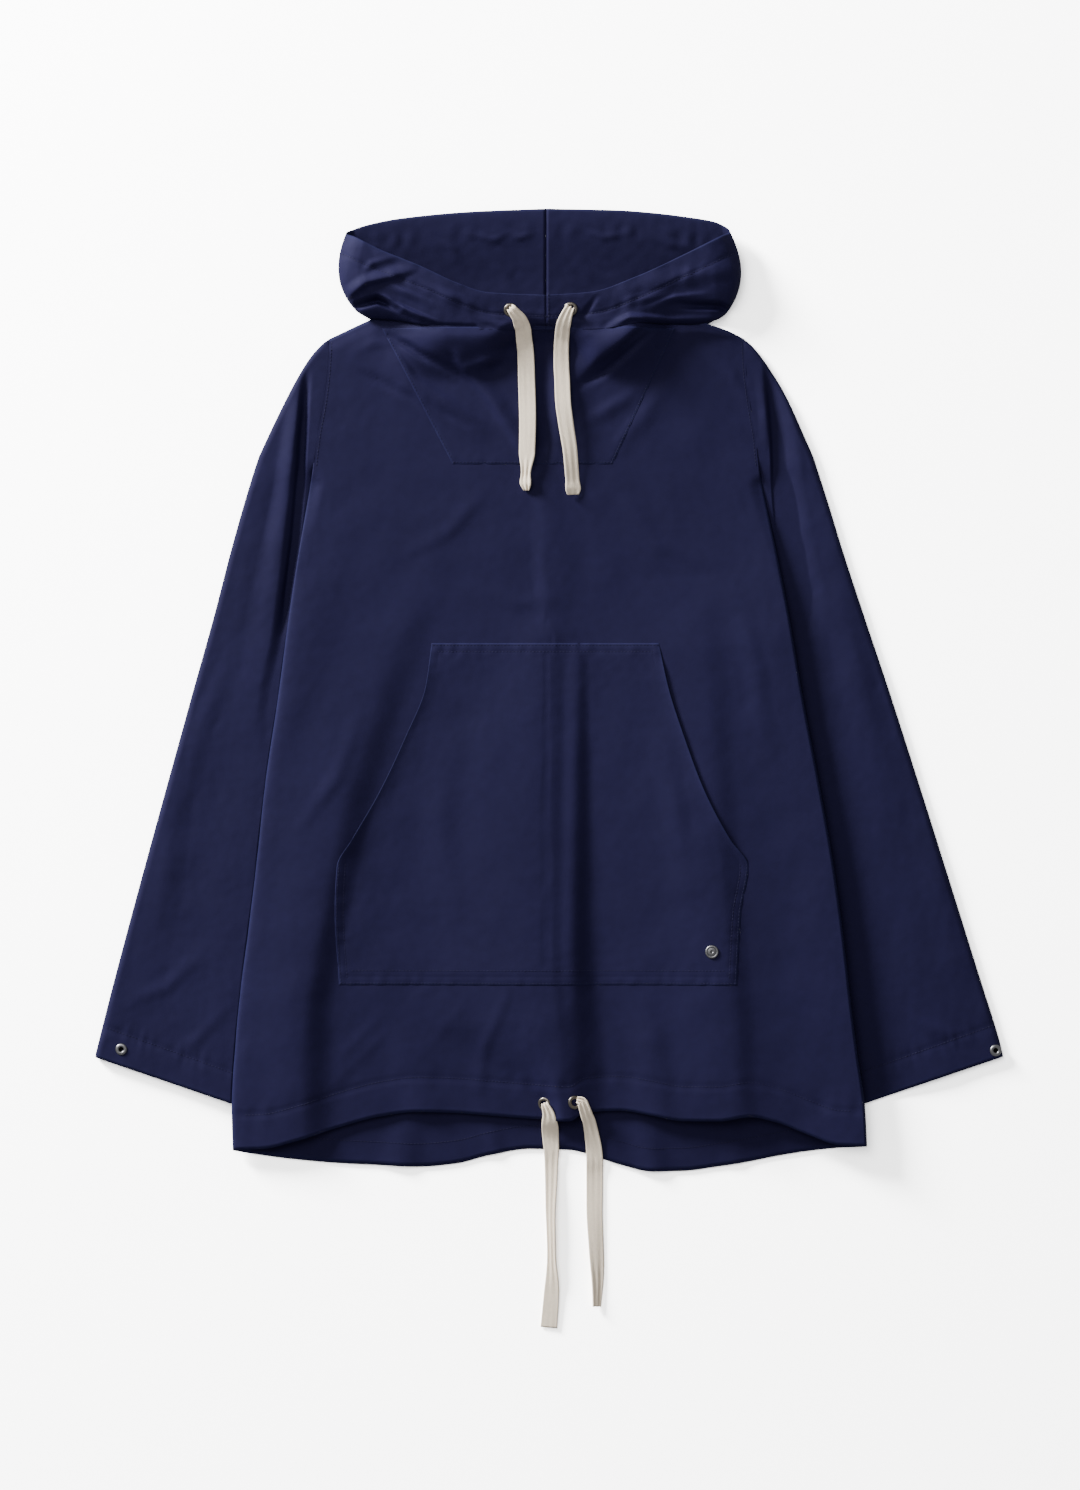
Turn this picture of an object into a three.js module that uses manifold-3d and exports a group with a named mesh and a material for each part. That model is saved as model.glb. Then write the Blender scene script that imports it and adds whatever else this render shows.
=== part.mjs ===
// Anorak pullover laid flat on its back, arms at its sides, in millimetres.
// X runs across the body, Y from the hem to the hood, Z up from the surface it lies on.
// The origin is on that surface, below the middle of the garment's outline.
import * as THREE from 'three';
import { mergeVertices } from 'three/addons/utils/BufferGeometryUtils.js';
import Module from 'manifold-3d';

const wasm = await Module();
wasm.setup();

// Driving sizes
const wall = 1.8;
const seamGap = 0.3;
const layerGap = 0.5;
const frontRest = 6;
const sleeveRest = 7.2;
const sleevePinch = 2 * wall + layerGap;
const sideLift = sleevePinch + seamGap;
const sleeveTuck = 8;
const cuffLean = 0.34;
const edgeRoll = 6;
const pocketWall = 1.4;
const insetWall = 1.2;
const tapeWidth = 16;
const tapeThickness = 1.6;
const eyeletOuter = 13.3;
const eyeletInner = 7;
const studWidth = 12.8;
const snapWidth = 11.4;
const hoodSeamX = -3;
const underarmY = 211;

// Sides of the body: the side seams up to the underarm, then the armhole seams to the shoulder.
const bodySides = [
  { y: -437, left: -301, right: 302 },
  { y: -398, left: -302, right: 300 },
  { y: -347, left: -299.5, right: 293 },
  { y: -296, left: -295, right: 286.5 },
  { y: -234, left: -287, right: 279.5 },
  { y: -168, left: -279, right: 270.5 },
  { y: -91, left: -270.5, right: 257 },
  { y: -7, left: -258, right: 241 },
  { y: 75, left: -247, right: 227 },
  { y: 133, left: -238, right: 215.5 },
  { y: 192, left: -228, right: 203 },
  { y: underarmY, left: -225, right: 199.5 },
  { y: 240, left: -221.5, right: 196.5 },
  { y: 276, left: -215, right: 190.5 },
  { y: 306, left: -211.5, right: 187 },
  { y: 334, left: -210, right: 185.5 },
];

// Hems of the front and of the longer back, from the left side seam to the right one.
const hems = [
  { x: -302, front: -436.5, back: -437 },
  { x: -273, front: -435.5, back: -442 },
  { x: -241, front: -428, back: -446 },
  { x: -201, front: -415.5, back: -449.5 },
  { x: -161, front: -405, back: -451.5 },
  { x: -125, front: -400.5, back: -453 },
  { x: -89, front: -401.5, back: -450 },
  { x: -57, front: -404, back: -442 },
  { x: -18, front: -407, back: -436 },
  { x: 18.5, front: -409, back: -437 },
  { x: 34, front: -401, back: -440 },
  { x: 67, front: -399.5, back: -451 },
  { x: 98, front: -404, back: -457.5 },
  { x: 127, front: -409, back: -457 },
  { x: 159, front: -409, back: -453 },
  { x: 190, front: -405, back: -448 },
  { x: 215, front: -410, back: -443 },
  { x: 246, front: -422, back: -438 },
  { x: 275, front: -431.5, back: -435 },
  { x: 302, front: -432.5, back: -433.5 },
];

// Tops of the front and back: shoulder lines, and the neck seam hidden by the hood.
const tops = [
  { x: -210, front: 334, back: 334 },
  { x: -190, front: 343.5, back: 343.5 },
  { x: -176, front: 350, back: 348 },
  { x: -160, front: 356, back: 347.5 },
  { x: -142, front: 357, back: 343.5 },
  { x: -113, front: 352, back: 338.5 },
  { x: -75, front: 348, back: 335.5 },
  { x: 0, front: 347, back: 335 },
  { x: 62, front: 350, back: 335.5 },
  { x: 90, front: 354, back: 337.5 },
  { x: 120, front: 354, back: 341 },
  { x: 142, front: 351, back: 344.5 },
  { x: 157, front: 346.5, back: 346.2 },
  { x: 172, front: 341, back: 341 },
  { x: 185.5, front: 334, back: 334 },
];

// Outer edges of the sleeves, from the cuff up to the shoulder.
const leftSleeveOuter = [
  { y: -346, x: -432 },
  { y: -275, x: -414 },
  { y: -7, x: -341 },
  { y: 68, x: -320 },
  { y: 141, x: -301 },
  { y: 206, x: -282 },
  { y: 250, x: -267 },
  { y: 279, x: -257 },
  { y: 296, x: -250 },
  { y: 314, x: -238 },
  { y: 326, x: -226 },
  { y: 334.3, x: -210.3 },
];
const rightSleeveOuter = [
  { y: -349.5, x: 432 },
  { y: -333, x: 428 },
  { y: -275, x: 410 },
  { y: -9, x: 326 },
  { y: 75, x: 298 },
  { y: 133, x: 279 },
  { y: 182, x: 264 },
  { y: 235, x: 247 },
  { y: 262, x: 239 },
  { y: 286, x: 228 },
  { y: 307, x: 216 },
  { y: 323, x: 201 },
  { y: 334.3, x: 185.8 },
];

// Folds seen from above: each follows a path, rises by the given heights along it
// (a trough has negative ones), and fades out over a width on the left and the right of
// its direction of travel.
const frontFolds = [
  { path: [[19, 30], [19.5, -100], [18.5, -250], [18.5, -412]], rise: [0, 3, 6, 8], left: 11, right: 28 },
  { path: [[35, 10], [34, -150], [34, -412]], rise: [0, -1.4, -1.8], left: 20, right: 12 },
  { path: [[152, 85], [165, -60], [167, -280], [163, -410]], rise: [0, -1.6, -1.2, -1.8], left: 18, right: 14 },
  { path: [[178, 20], [192, -200], [196, -415]], rise: [0, 2, 2.5], left: 16, right: 16 },
  { path: [[-123, 86], [-190, -88], [-199, -171], [-194, -408]], rise: [0, -1.8, -1.6, -1.2], left: 16, right: 22 },
  { path: [[-232, -100], [-232, -260], [-240, -425]], rise: [0, 1.6, 2], left: 20, right: 20 },
  { path: [[-150, -300], [-120, -405]], rise: [0, 2.2], left: 24, right: 24 },
  { path: [[-142, 352], [-92, 318], [-55, 272], [-14, 205]], rise: [5, 8.5, 7, 0], left: 20, right: 58 },
  { path: [[100, 352], [66, 322], [30, 284], [-2, 205]], rise: [6, 8.5, 6, 0], left: 58, right: 20 },
];
const leftSleeveFolds = [
  {
    path: [[-232, 304], [-243, 269], [-250, 235], [-258, 180], [-272, 80], [-280, -10], [-296, -160]],
    rise: [0, 4.5, 6, 6, 5, 3, 0],
    left: 11,
    right: 17,
  },
  { path: [[-350, 20], [-362, -150], [-385, -300]], rise: [0, 1.6, 0], left: 20, right: 20 },
];
const rightSleeveFolds = [
  { path: [[204, 306], [214, 272], [217, 236], [221, 186], [230, 130]], rise: [0, -2.6, -3, -3, 0], left: 12, right: 8 },
  { path: [[236, 262], [258, 160], [292, 10], [330, -120]], rise: [0, 2.4, 2.2, 0], left: 16, right: 18 },
  { path: [[352, -80], [372, -190], [396, -310]], rise: [0, 1.8, 0], left: 18, right: 20 },
];
const backFolds = [
  { path: [[-132, -400], [-140, -455]], rise: [1, 2.4], left: 20, right: 24 },
  { path: [[92, -400], [100, -459]], rise: [1, 2.8], left: 18, right: 22 },
];
const hoodFolds = [
  { path: [[-190, 372], [-173, 385], [-147, 391], [-118, 397]], rise: [0, 2.2, 2.4, 0], left: 8, right: 9 },
  { path: [[-178, 372], [-150, 365], [-122, 353]], rise: [-3, -6, -3], left: 8, right: 8 },
  { path: [[126, 366], [150, 366], [168, 361]], rise: [-1, -6, -4], left: 8, right: 8 },
  { path: [[60, 376], [96, 372], [128, 378]], rise: [0, 1.8, 0], left: 9, right: 9 },
];

// Hood, one row for each section from the centre back round the side to the centre front.
// Each section runs from the edge of the opening over the middle to the neck seam.
const leftHoodRows = [
  { edge: [hoodSeamX, 457.5, 0], middle: [hoodSeamX, 397, 0], neck: [hoodSeamX, 336, 0] },
  { edge: [-77, 454.5, 0], middle: [-76, 396, 0], neck: [-75, 337, 0] },
  { edge: [-150, 447, 0], middle: [-147, 394, 0], neck: [-125, 341.6, 0] },
  { edge: [-183, 439, 0], middle: [-187, 394, 0], neck: [-160, 348.5, 0] },
  { edge: [-193, 434, 6], middle: [-200, 393, 9], neck: [-183, 360, 6] },
  { edge: [-185, 430, 13], middle: [-192, 388, 20], neck: [-172, 354, 13] },
  { edge: [-164, 419, 21], middle: [-163, 382, 26], neck: [-148, 351, 14] },
  { edge: [-121, 401, 26], middle: [-118, 372, 28], neck: [-113, 345, 14] },
  { edge: [-86, 385, 28], middle: [-83, 364, 27], neck: [-78, 342, 15] },
  { edge: [-57, 376.5, 28], middle: [-54, 360, 25], neck: [-50, 341, 12] },
  { edge: [hoodSeamX, 374, 26], middle: [hoodSeamX, 358, 20], neck: [hoodSeamX, 341, 9] },
];
const rightHoodRows = [
  { edge: [hoodSeamX, 457.5, 0], middle: [hoodSeamX, 397, 0], neck: [hoodSeamX, 336, 0] },
  { edge: [65, 456, 0], middle: [63, 397, 0], neck: [62, 337, 0] },
  { edge: [128, 450, 0], middle: [126, 394, 0], neck: [112, 342, 0] },
  { edge: [160, 444, 0], middle: [165, 393, 0], neck: [144, 346.3, 0] },
  { edge: [171, 436, 6], middle: [182, 394, 9], neck: [168, 358, 6] },
  { edge: [163, 431, 13], middle: [174, 388, 20], neck: [160.5, 352.5, 13] },
  { edge: [126, 412, 22], middle: [130, 380, 27], neck: [132, 347, 14] },
  { edge: [83, 392, 27], middle: [86, 370, 28], neck: [90, 348, 15] },
  { edge: [39, 377, 28], middle: [42, 361, 25], neck: [48, 342, 12] },
  { edge: [hoodSeamX, 374, 26], middle: [hoodSeamX, 358, 20], neck: [hoodSeamX, 341, 9] },
];

// Pocket outline: straight sides below, curved hand openings above, from the bottom up.
const pocketSides = [
  { y: -280, left: -200, right: 178 },
  { y: -211, left: -204, right: 182 },
  { y: -167, left: -202, right: 189 },
  { y: -142, left: -188, right: 172 },
  { y: -97, left: -162, right: 148 },
  { y: -44, left: -137, right: 128 },
  { y: 3, left: -118, right: 113 },
  { y: 45, left: -112, right: 104 },
];

// Neck inset outline, from its point-side seam up to the neck seam.
const insetSides = [
  { y: 215, left: -92, right: 60 },
  { y: 338, left: -156, right: 117 },
];

// Drawtapes: route of the middle of each tape, from its eyelet to its free end.
const tapeRoutes = {
  tape_hood_left: [
    [-36, 360.5, 28.1], [-33, 357, 26.8], [-29, 352, 24.4], [-27, 347.5, 21.4], [-25.2, 343, 18],
    [-24.5, 337.5, 15], [-24, 332, 12.6], [-23, 325, 11.4], [-22.4, 316, 10.8], [-22, 306, 10.5],
    [-21.8, 296, 10.4], [-21.4, 284, 10.6], [-21, 272, 10.9], [-20.8, 261, 11.4], [-20.8, 250, 11.6],
    [-21, 239, 11.3], [-21.2, 228, 10.8], [-21.6, 215, 9.8], [-22, 203, 8.4], [-22, 190, 7.6],
  ],
  tape_hood_right: [
    [19, 361, 27.8], [17, 357, 26.6], [15, 352, 24.2], [13.6, 347.5, 21.4], [12.5, 343, 18],
    [12, 337.5, 15], [11.5, 332, 12.6], [11.2, 324, 11.3], [11.2, 316, 10.8], [11.4, 306, 10.9],
    [12, 296, 11.5], [12.4, 284, 12.5], [13, 272, 13.3], [14.4, 261, 13.3], [16, 250, 12.9],
    [17.8, 239, 12.3], [19.4, 228, 11.5], [20.6, 214, 10], [21.6, 200, 8.2], [22.3, 186, 7.5],
  ],
  tape_hem_left: [
    [-4, -394, 12.2], [-2.4, -398, 12.1], [-1, -402, 11.8], [-0.4, -406.5, 11.2], [0, -411, 10],
    [0.6, -417, 7.2], [1, -424, 4.8], [1.5, -431, 3.6], [2, -438, 3], [2, -452, 1.5], [2, -470, 1.1],
    [2, -495, 1.1], [3, -525, 1.1], [3, -555, 1.1], [1.4, -582, 1.1], [-0.6, -606, 1.1],
  ],
  tape_hem_right: [
    [31, -390, 14.4], [32.6, -394.5, 13.6], [34, -399, 12.4], [35.6, -404, 10.8], [37.5, -409, 8.8],
    [39, -416, 6.6], [40.5, -424, 5], [41.5, -430, 4.3], [42.3, -436, 3.8], [43, -447, 3.3],
    [43, -460, 1.6], [43, -475, 1.1], [43, -500, 1.1], [44.5, -530, 1.1], [45.5, -558, 1.1],
    [44.5, -586, 1.1],
  ],
};

const clothColour = new THREE.Color(0x25274a);
const tapeColour = new THREE.Color(0xe6d5c6);
const eyeletColour = new THREE.Color(0x4a4238);
const snapColour = new THREE.Color(0x8d8f94);

function clothMaterial() {
  return new THREE.MeshStandardMaterial({ color: clothColour, roughness: 0.85, metalness: 0 });
}

function tapeMaterial() {
  return new THREE.MeshStandardMaterial({ color: tapeColour, roughness: 0.9, metalness: 0 });
}

function metalMaterial(colour) {
  return new THREE.MeshStandardMaterial({ color: colour, roughness: 0.4, metalness: 1 });
}

// A smooth curve through one column of a table, which never overshoots its rows.
function columnCurve(rows, key, column) {
  const keys = rows.map((row) => row[key]);
  const values = rows.map((row) => row[column]);
  const last = keys.length - 1;
  const steps = keys.slice(1).map((value, i) => (values[i + 1] - values[i]) / (value - keys[i]));
  const slopes = keys.map((value, i) => {
    if (i === 0) return steps[0];
    if (i === last) return steps[last - 1];
    const before = steps[i - 1];
    const after = steps[i];
    return before * after > 0 ? (2 * before * after) / (before + after) : 0;
  });
  return (place) => {
    const at = THREE.MathUtils.clamp(place, keys[0], keys[last]);
    let i = 0;
    while (i < last - 1 && at > keys[i + 1]) i += 1;
    const span = keys[i + 1] - keys[i];
    const t = (at - keys[i]) / span;
    const rest = 1 - t;
    return values[i] * (1 + 2 * t) * rest * rest
      + slopes[i] * span * t * rest * rest
      + values[i + 1] * t * t * (3 - 2 * t)
      - slopes[i + 1] * span * t * t * rest;
  };
}

// Height that one fold adds at a place: full on its path, fading out to each side.
function foldHeight(fold, x, y) {
  let nearest = Infinity;
  let height = 0;
  for (let i = 0; i + 1 < fold.path.length; i += 1) {
    const [ax, ay] = fold.path[i];
    const [bx, by] = fold.path[i + 1];
    const length = Math.hypot(bx - ax, by - ay);
    const alongX = (bx - ax) / length;
    const alongY = (by - ay) / length;
    const reach = (x - ax) * alongX + (y - ay) * alongY;
    const t = THREE.MathUtils.clamp(reach / length, 0, 1);
    const offX = x - ax - alongX * length * t;
    const offY = y - ay - alongY * length * t;
    const distance = Math.hypot(offX, offY);
    if (distance < nearest) {
      nearest = distance;
      const onLeft = alongX * offY - alongY * offX > 0;
      const fade = Math.max(0, 1 - distance / (onLeft ? fold.left : fold.right));
      const rise = THREE.MathUtils.lerp(fold.rise[i], fold.rise[i + 1], t);
      height = rise * fade * fade * (3 - 2 * fade);
    }
  }
  return height;
}

function foldsHeight(folds, x, y) {
  return folds.reduce((sum, fold) => sum + foldHeight(fold, x, y), 0);
}

const bodyLeft = columnCurve(bodySides, 'y', 'left');
const bodyRight = columnCurve(bodySides, 'y', 'right');
const frontHem = columnCurve(hems, 'x', 'front');
const backHem = columnCurve(hems, 'x', 'back');
const frontTop = columnCurve(tops, 'x', 'front');
const backTop = columnCurve(tops, 'x', 'back');

// How far the sides of the body are lifted where they lie over the sleeves.
function sideRise(x, y) {
  const inset = Math.min(x - bodyLeft(y), bodyRight(y) - x);
  const across = THREE.MathUtils.smoothstep(-inset, -26, -10);
  const along = THREE.MathUtils.smoothstep(-y, -205, -110);
  return sideLift * across * along;
}

function backUnderside(x, y) {
  return sideRise(x, y);
}

// The back's upper face, which its folds lift at the hem.
function backUpper(x, y) {
  return backUnderside(x, y) + wall + Math.max(0, foldsHeight(backFolds, x, y));
}

// The front's upper face: it lies on the back, its folds rise from there.
function frontUpper(x, y) {
  const lowest = sideRise(x, y) + 2 * wall + seamGap;
  const inset = Math.min(x - bodyLeft(y), bodyRight(y) - x, frontTop(x) - y, y - frontHem(x));
  const rest = THREE.MathUtils.lerp(lowest, Math.max(lowest, frontRest), THREE.MathUtils.smoothstep(inset, 0, 14));
  return Math.max(lowest, rest + foldsHeight(frontFolds, x, y));
}

// A closed geometry from vertices and quads given as corner indices.
function closedGeometry(points, quads) {
  const geometry = new THREE.BufferGeometry();
  geometry.setAttribute('position', new THREE.Float32BufferAttribute(points.flat(), 3));
  const index = [];
  for (const [a, b, c, d] of quads) index.push(a, b, c, a, c, d);
  geometry.setIndex(index);
  geometry.computeVertexNormals();
  return geometry;
}

// A cloth wall between an outer and an inner grid of points, rows by columns.
// Seen from outside, columns run to the right and rows run up.
function wallBetween(outer, inner) {
  const rows = outer.length;
  const columns = outer[0].length;
  const points = [...outer.flat(), ...inner.flat()];
  const at = (row, column) => row * columns + column;
  const under = (row, column) => rows * columns + at(row, column);
  const quads = [];
  for (let row = 0; row + 1 < rows; row += 1) {
    for (let column = 0; column + 1 < columns; column += 1) {
      quads.push([at(row, column), at(row, column + 1), at(row + 1, column + 1), at(row + 1, column)]);
      quads.push([under(row, column), under(row + 1, column), under(row + 1, column + 1), under(row, column + 1)]);
    }
    quads.push([at(row, 0), at(row + 1, 0), under(row + 1, 0), under(row, 0)]);
    const edge = columns - 1;
    quads.push([at(row, edge), under(row, edge), under(row + 1, edge), at(row + 1, edge)]);
  }
  for (let column = 0; column + 1 < columns; column += 1) {
    quads.push([at(0, column), under(0, column), under(0, column + 1), at(0, column + 1)]);
    const top = rows - 1;
    quads.push([at(top, column), at(top, column + 1), under(top, column + 1), under(top, column)]);
  }
  return closedGeometry(points, quads);
}

// A cloth tube between outer and inner rings, open at its first and last ring.
function tubeBetween(outer, inner) {
  const rings = outer.length;
  const around = outer[0].length;
  const points = [...outer.flat(), ...inner.flat()];
  const at = (ring, place) => ring * around + (place % around);
  const under = (ring, place) => rings * around + at(ring, place);
  const quads = [];
  for (let place = 0; place < around; place += 1) {
    for (let ring = 0; ring + 1 < rings; ring += 1) {
      quads.push([at(ring, place), at(ring, place + 1), at(ring + 1, place + 1), at(ring + 1, place)]);
      quads.push([under(ring, place), under(ring + 1, place), under(ring + 1, place + 1), under(ring, place + 1)]);
    }
    quads.push([at(0, place), under(0, place), under(0, place + 1), at(0, place + 1)]);
    const end = rings - 1;
    quads.push([at(end, place), at(end, place + 1), under(end, place + 1), under(end, place)]);
  }
  return closedGeometry(points, quads);
}

function clothMesh(name, geometry) {
  const mesh = new THREE.Mesh(geometry, clothMaterial());
  mesh.name = name;
  return mesh;
}

// Places across the body: close together at both edges and over the centre fold.
const edgeSteps = [0, 3, 9, 19];
const foldColumns = [-12, 2, 10, 15, 18.5, 22, 27, 34, 44];
const sideColumns = 7;

function placesAcross(left, right) {
  const places = edgeSteps.map((step) => left + step);
  const leftStart = places[places.length - 1];
  const rightStart = right - edgeSteps[edgeSteps.length - 1];
  for (let i = 1; i < sideColumns; i += 1) {
    places.push(THREE.MathUtils.lerp(leftStart, foldColumns[0], i / sideColumns));
  }
  places.push(...foldColumns);
  for (let i = 1; i < sideColumns; i += 1) {
    places.push(THREE.MathUtils.lerp(foldColumns[foldColumns.length - 1], rightStart, i / sideColumns));
  }
  places.push(...edgeSteps.map((step) => right - step).reverse());
  return places;
}

// Plan points of a body panel: rows from the hem to the top, each from side to side.
function bodyGrid(hem, top, shares) {
  const middleHem = hem(0);
  const middleTop = top(0);
  return shares.map((share) => {
    const level = THREE.MathUtils.lerp(middleHem, middleTop, share);
    const firstGuess = placesAcross(bodyLeft(level), bodyRight(level));
    return firstGuess.map((guess, column) => {
      const y = THREE.MathUtils.lerp(hem(guess), top(guess), share);
      const x = placesAcross(bodyLeft(y), bodyRight(y))[column];
      return [x, THREE.MathUtils.lerp(hem(x), top(x), share)];
    });
  });
}

// Shares of the length at which a panel has rows, closer near both ends.
function rowShares(hemRows, middleRows, neckRows, hemShare, neckShare) {
  const shares = [];
  for (let i = 0; i < hemRows; i += 1) shares.push((hemShare * i) / hemRows);
  for (let i = 0; i < middleRows; i += 1) {
    shares.push(THREE.MathUtils.lerp(hemShare, neckShare, i / middleRows));
  }
  for (let i = 0; i <= neckRows; i += 1) shares.push(THREE.MathUtils.lerp(neckShare, 1, i / neckRows));
  return shares;
}

function makeBack() {
  const grid = bodyGrid(backHem, backTop, rowShares(3, 8, 6, 0.07, 0.8));
  const outer = grid.map((row) => row.map(([x, y]) => [x, y, backUpper(x, y)]));
  const inner = grid.map((row) => row.map(([x, y]) => [x, y, backUnderside(x, y)]));
  return clothMesh('back', wallBetween(outer, inner));
}

const frontGrid = bodyGrid(frontHem, frontTop, rowShares(2, 15, 9, 0.04, 0.78));

function makeFront() {
  const outer = frontGrid.map((row) => row.map(([x, y]) => [x, y, frontUpper(x, y)]));
  const inner = outer.map((row) => row.map(([x, y, z]) => [x, y, z - wall]));
  return clothMesh('front', wallBetween(outer, inner));
}

// A solid for cutting and joining, made from a mesh placed in the part's frame.
function solidOf(geometry) {
  const bare = new THREE.BufferGeometry();
  bare.setAttribute('position', geometry.getAttribute('position').clone());
  bare.setIndex(geometry.getIndex());
  const merged = mergeVertices(bare, 1e-4);
  const triVerts = new Uint32Array(merged.getIndex().array);
  const vertProperties = new Float32Array(merged.getAttribute('position').array);
  return new wasm.Manifold(new wasm.Mesh({ numProp: 3, vertProperties, triVerts }));
}

function geometryOf(solid) {
  const { vertProperties, triVerts } = solid.getMesh();
  const geometry = new THREE.BufferGeometry();
  geometry.setAttribute('position', new THREE.BufferAttribute(vertProperties, 3));
  geometry.setIndex(new THREE.BufferAttribute(triVerts, 1));
  geometry.computeVertexNormals();
  return geometry;
}

// A patch sewn on the front: the front's own points moved up, then cut to the patch's outline.
const cutterHeight = 40;

function patchOnFront(name, sides, outlineSteps, thickness) {
  const left = columnCurve(sides, 'y', 'left');
  const right = columnCurve(sides, 'y', 'right');
  const low = sides[0].y;
  const high = sides[sides.length - 1].y;
  const levels = [];
  for (let i = 0; i <= outlineSteps; i += 1) levels.push(THREE.MathUtils.lerp(low, high, i / outlineSteps));
  const outline = new THREE.Shape([
    ...levels.map((y) => new THREE.Vector2(right(y), y)),
    ...levels.map((y) => new THREE.Vector2(left(y), y)).reverse(),
  ]);
  const cutter = new THREE.ExtrudeGeometry(outline, { depth: cutterHeight, steps: 1, bevelEnabled: false });
  const raised = (amount) => frontGrid.map((row) => row.map(([x, y]) => [x, y, frontUpper(x, y) + amount]));
  const layer = wallBetween(raised(seamGap + thickness), raised(seamGap));
  return clothMesh(name, geometryOf(solidOf(layer).intersect(solidOf(cutter))));
}

// One sleeve as rings from the armhole to the cuff. Side is -1 for the left sleeve, 1 for the right.
function makeSleeve(name, side, bodyEdge, outerEdge, folds) {
  const shoulderY = tops[0].front;
  const fanRings = 6;
  const armRings = 15;
  const cuffInnerY = -396;
  const fanSpan = 6;
  const topShares = [0, 0.02, 0.05, 0.1, 0.17, 0.25, 0.34, 0.44, 0.56, 0.68, 0.8, 0.9, 0.96, 0.985, 1];
  const bottomShares = [0.97, 0.85, 0.6, 0.35, 0.12, 0.03];
  const outer = [];
  const inner = [];
  for (let ring = 0; ring <= fanRings + armRings; ring += 1) {
    const inFan = ring <= fanRings;
    const fan = Math.min(1, ring / fanRings);
    const arm = inFan ? 0 : (ring - fanRings) / armRings;
    const innerY = inFan
      ? underarmY - fanSpan * fan
      : THREE.MathUtils.lerp(underarmY - fanSpan, cuffInnerY, arm);
    const tuck = sleeveTuck * THREE.MathUtils.smoothstep(-innerY, -105, -60);
    const innerX = bodyEdge(innerY) + side * (2 * seamGap - tuck);
    const level = innerY + cuffLean * Math.abs(outerEdge(innerY + 20) - innerX);
    const outerY = inFan ? THREE.MathUtils.lerp(shoulderY, level, fan * fan * 0.35 + fan * 0.65) : level;
    const outerX = outerEdge(outerY);
    const seamBend = 1 - fan;
    const place = (share) => {
      const x = THREE.MathUtils.lerp(innerX, outerX, share);
      const y = THREE.MathUtils.lerp(innerY, outerY, share);
      const seamY = THREE.MathUtils.lerp(underarmY, shoulderY, share);
      const seamX = bodyEdge(seamY) + side * seamGap * 1.5;
      return [THREE.MathUtils.lerp(x, seamX, seamBend), THREE.MathUtils.lerp(y, seamY, seamBend)];
    };
    const [startX, startY] = place(0);
    const [endX, endY] = place(1);
    const width = Math.hypot(endX - startX, endY - startY);
    const height = (share) => {
      const [x, y] = place(share);
      const fromBody = side * (x - bodyEdge(Math.min(y, underarmY)));
      const rest = THREE.MathUtils.lerp(
        sleevePinch + 0.1,
        sleeveRest,
        THREE.MathUtils.smoothstep(fromBody, 4, 26),
      );
      const atSeam = THREE.MathUtils.lerp(rest, frontRest, seamBend * seamBend);
      const folded = Math.max(sleevePinch, atSeam + foldsHeight(folds, x, y));
      const inset = Math.min(share, 1 - share) * width;
      const roll = Math.min(1, inset / edgeRoll);
      const round = Math.sqrt(1 - (1 - roll) * (1 - roll));
      return sleevePinch * 0.5 + (folded - sleevePinch * 0.5) * round;
    };
    const base = (share) => {
      const inset = Math.min(share, 1 - share) * width;
      const roll = Math.min(1, inset / edgeRoll);
      return sleevePinch * 0.5 * (1 - Math.sqrt(1 - (1 - roll) * (1 - roll)));
    };
    const squeeze = (share) => THREE.MathUtils.lerp(wall / width, 1 - wall / width, share);
    outer.push([
      ...topShares.map((share) => [...place(share), height(share)]),
      ...bottomShares.map((share) => [...place(share), base(share)]),
    ]);
    inner.push([
      ...topShares.map((share) => {
        const z = Math.max(height(squeeze(share)) - wall, wall + layerGap);
        const inset = Math.min(share, 1 - share) * width;
        const round = Math.sqrt(Math.min(1, inset / edgeRoll));
        return [...place(squeeze(share)), THREE.MathUtils.lerp(wall + layerGap / 2, z, round)];
      }),
      ...bottomShares.map((share) => [...place(squeeze(share)), wall]),
    ]);
  }
  const flip = (rings) => (side < 0 ? rings : rings.map((ring) => [...ring].reverse()));
  return clothMesh(name, tubeBetween(flip(outer), flip(inner)));
}

// Hood half: sections read from its rows, folds added where the cloth faces up.
function makeHoodHalf(name, side, rows) {
  const around = 26;
  const down = 8;
  const parts = ['edge', 'middle', 'neck'];
  const table = rows.map((row, i) => ({ i, row }));
  const curves = parts.map((part) => [0, 1, 2].map((axis) => columnCurve(
    table.map(({ i, row }) => ({ i, value: row[part][axis] })),
    'i',
    'value',
  )));
  const outer = [];
  for (let step = 0; step <= around; step += 1) {
    const place = ((rows.length - 1) * step) / around;
    const section = curves.map((axes) => axes.map((curve) => curve(place)));
    const [edge, middle, neck] = section;
    const line = [];
    for (let i = 0; i <= down; i += 1) {
      const t = i / down;
      const weights = [(1 - t) * (1 - 2 * t), 4 * t * (1 - t), t * (2 * t - 1)];
      const point = [0, 1, 2].map((axis) => edge[axis] * weights[0] + middle[axis] * weights[1] + neck[axis] * weights[2]);
      const facingUp = THREE.MathUtils.smoothstep(point[2], 9, 14);
      point[2] = Math.max(0, point[2]) + facingUp * foldsHeight(hoodFolds, point[0], point[1]);
      line.push(point);
    }
    outer.push(line);
  }
  const gap = (side * seamGap) / 2;
  outer[0].forEach((point) => { point[0] += gap; });
  outer[around].forEach((point) => { point[0] += gap; });
  const inner = offsetGrid(outer, -side * wall);
  return clothMesh(name, side > 0 ? wallBetween(inner, outer) : wallBetween(outer, inner));
}

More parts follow.
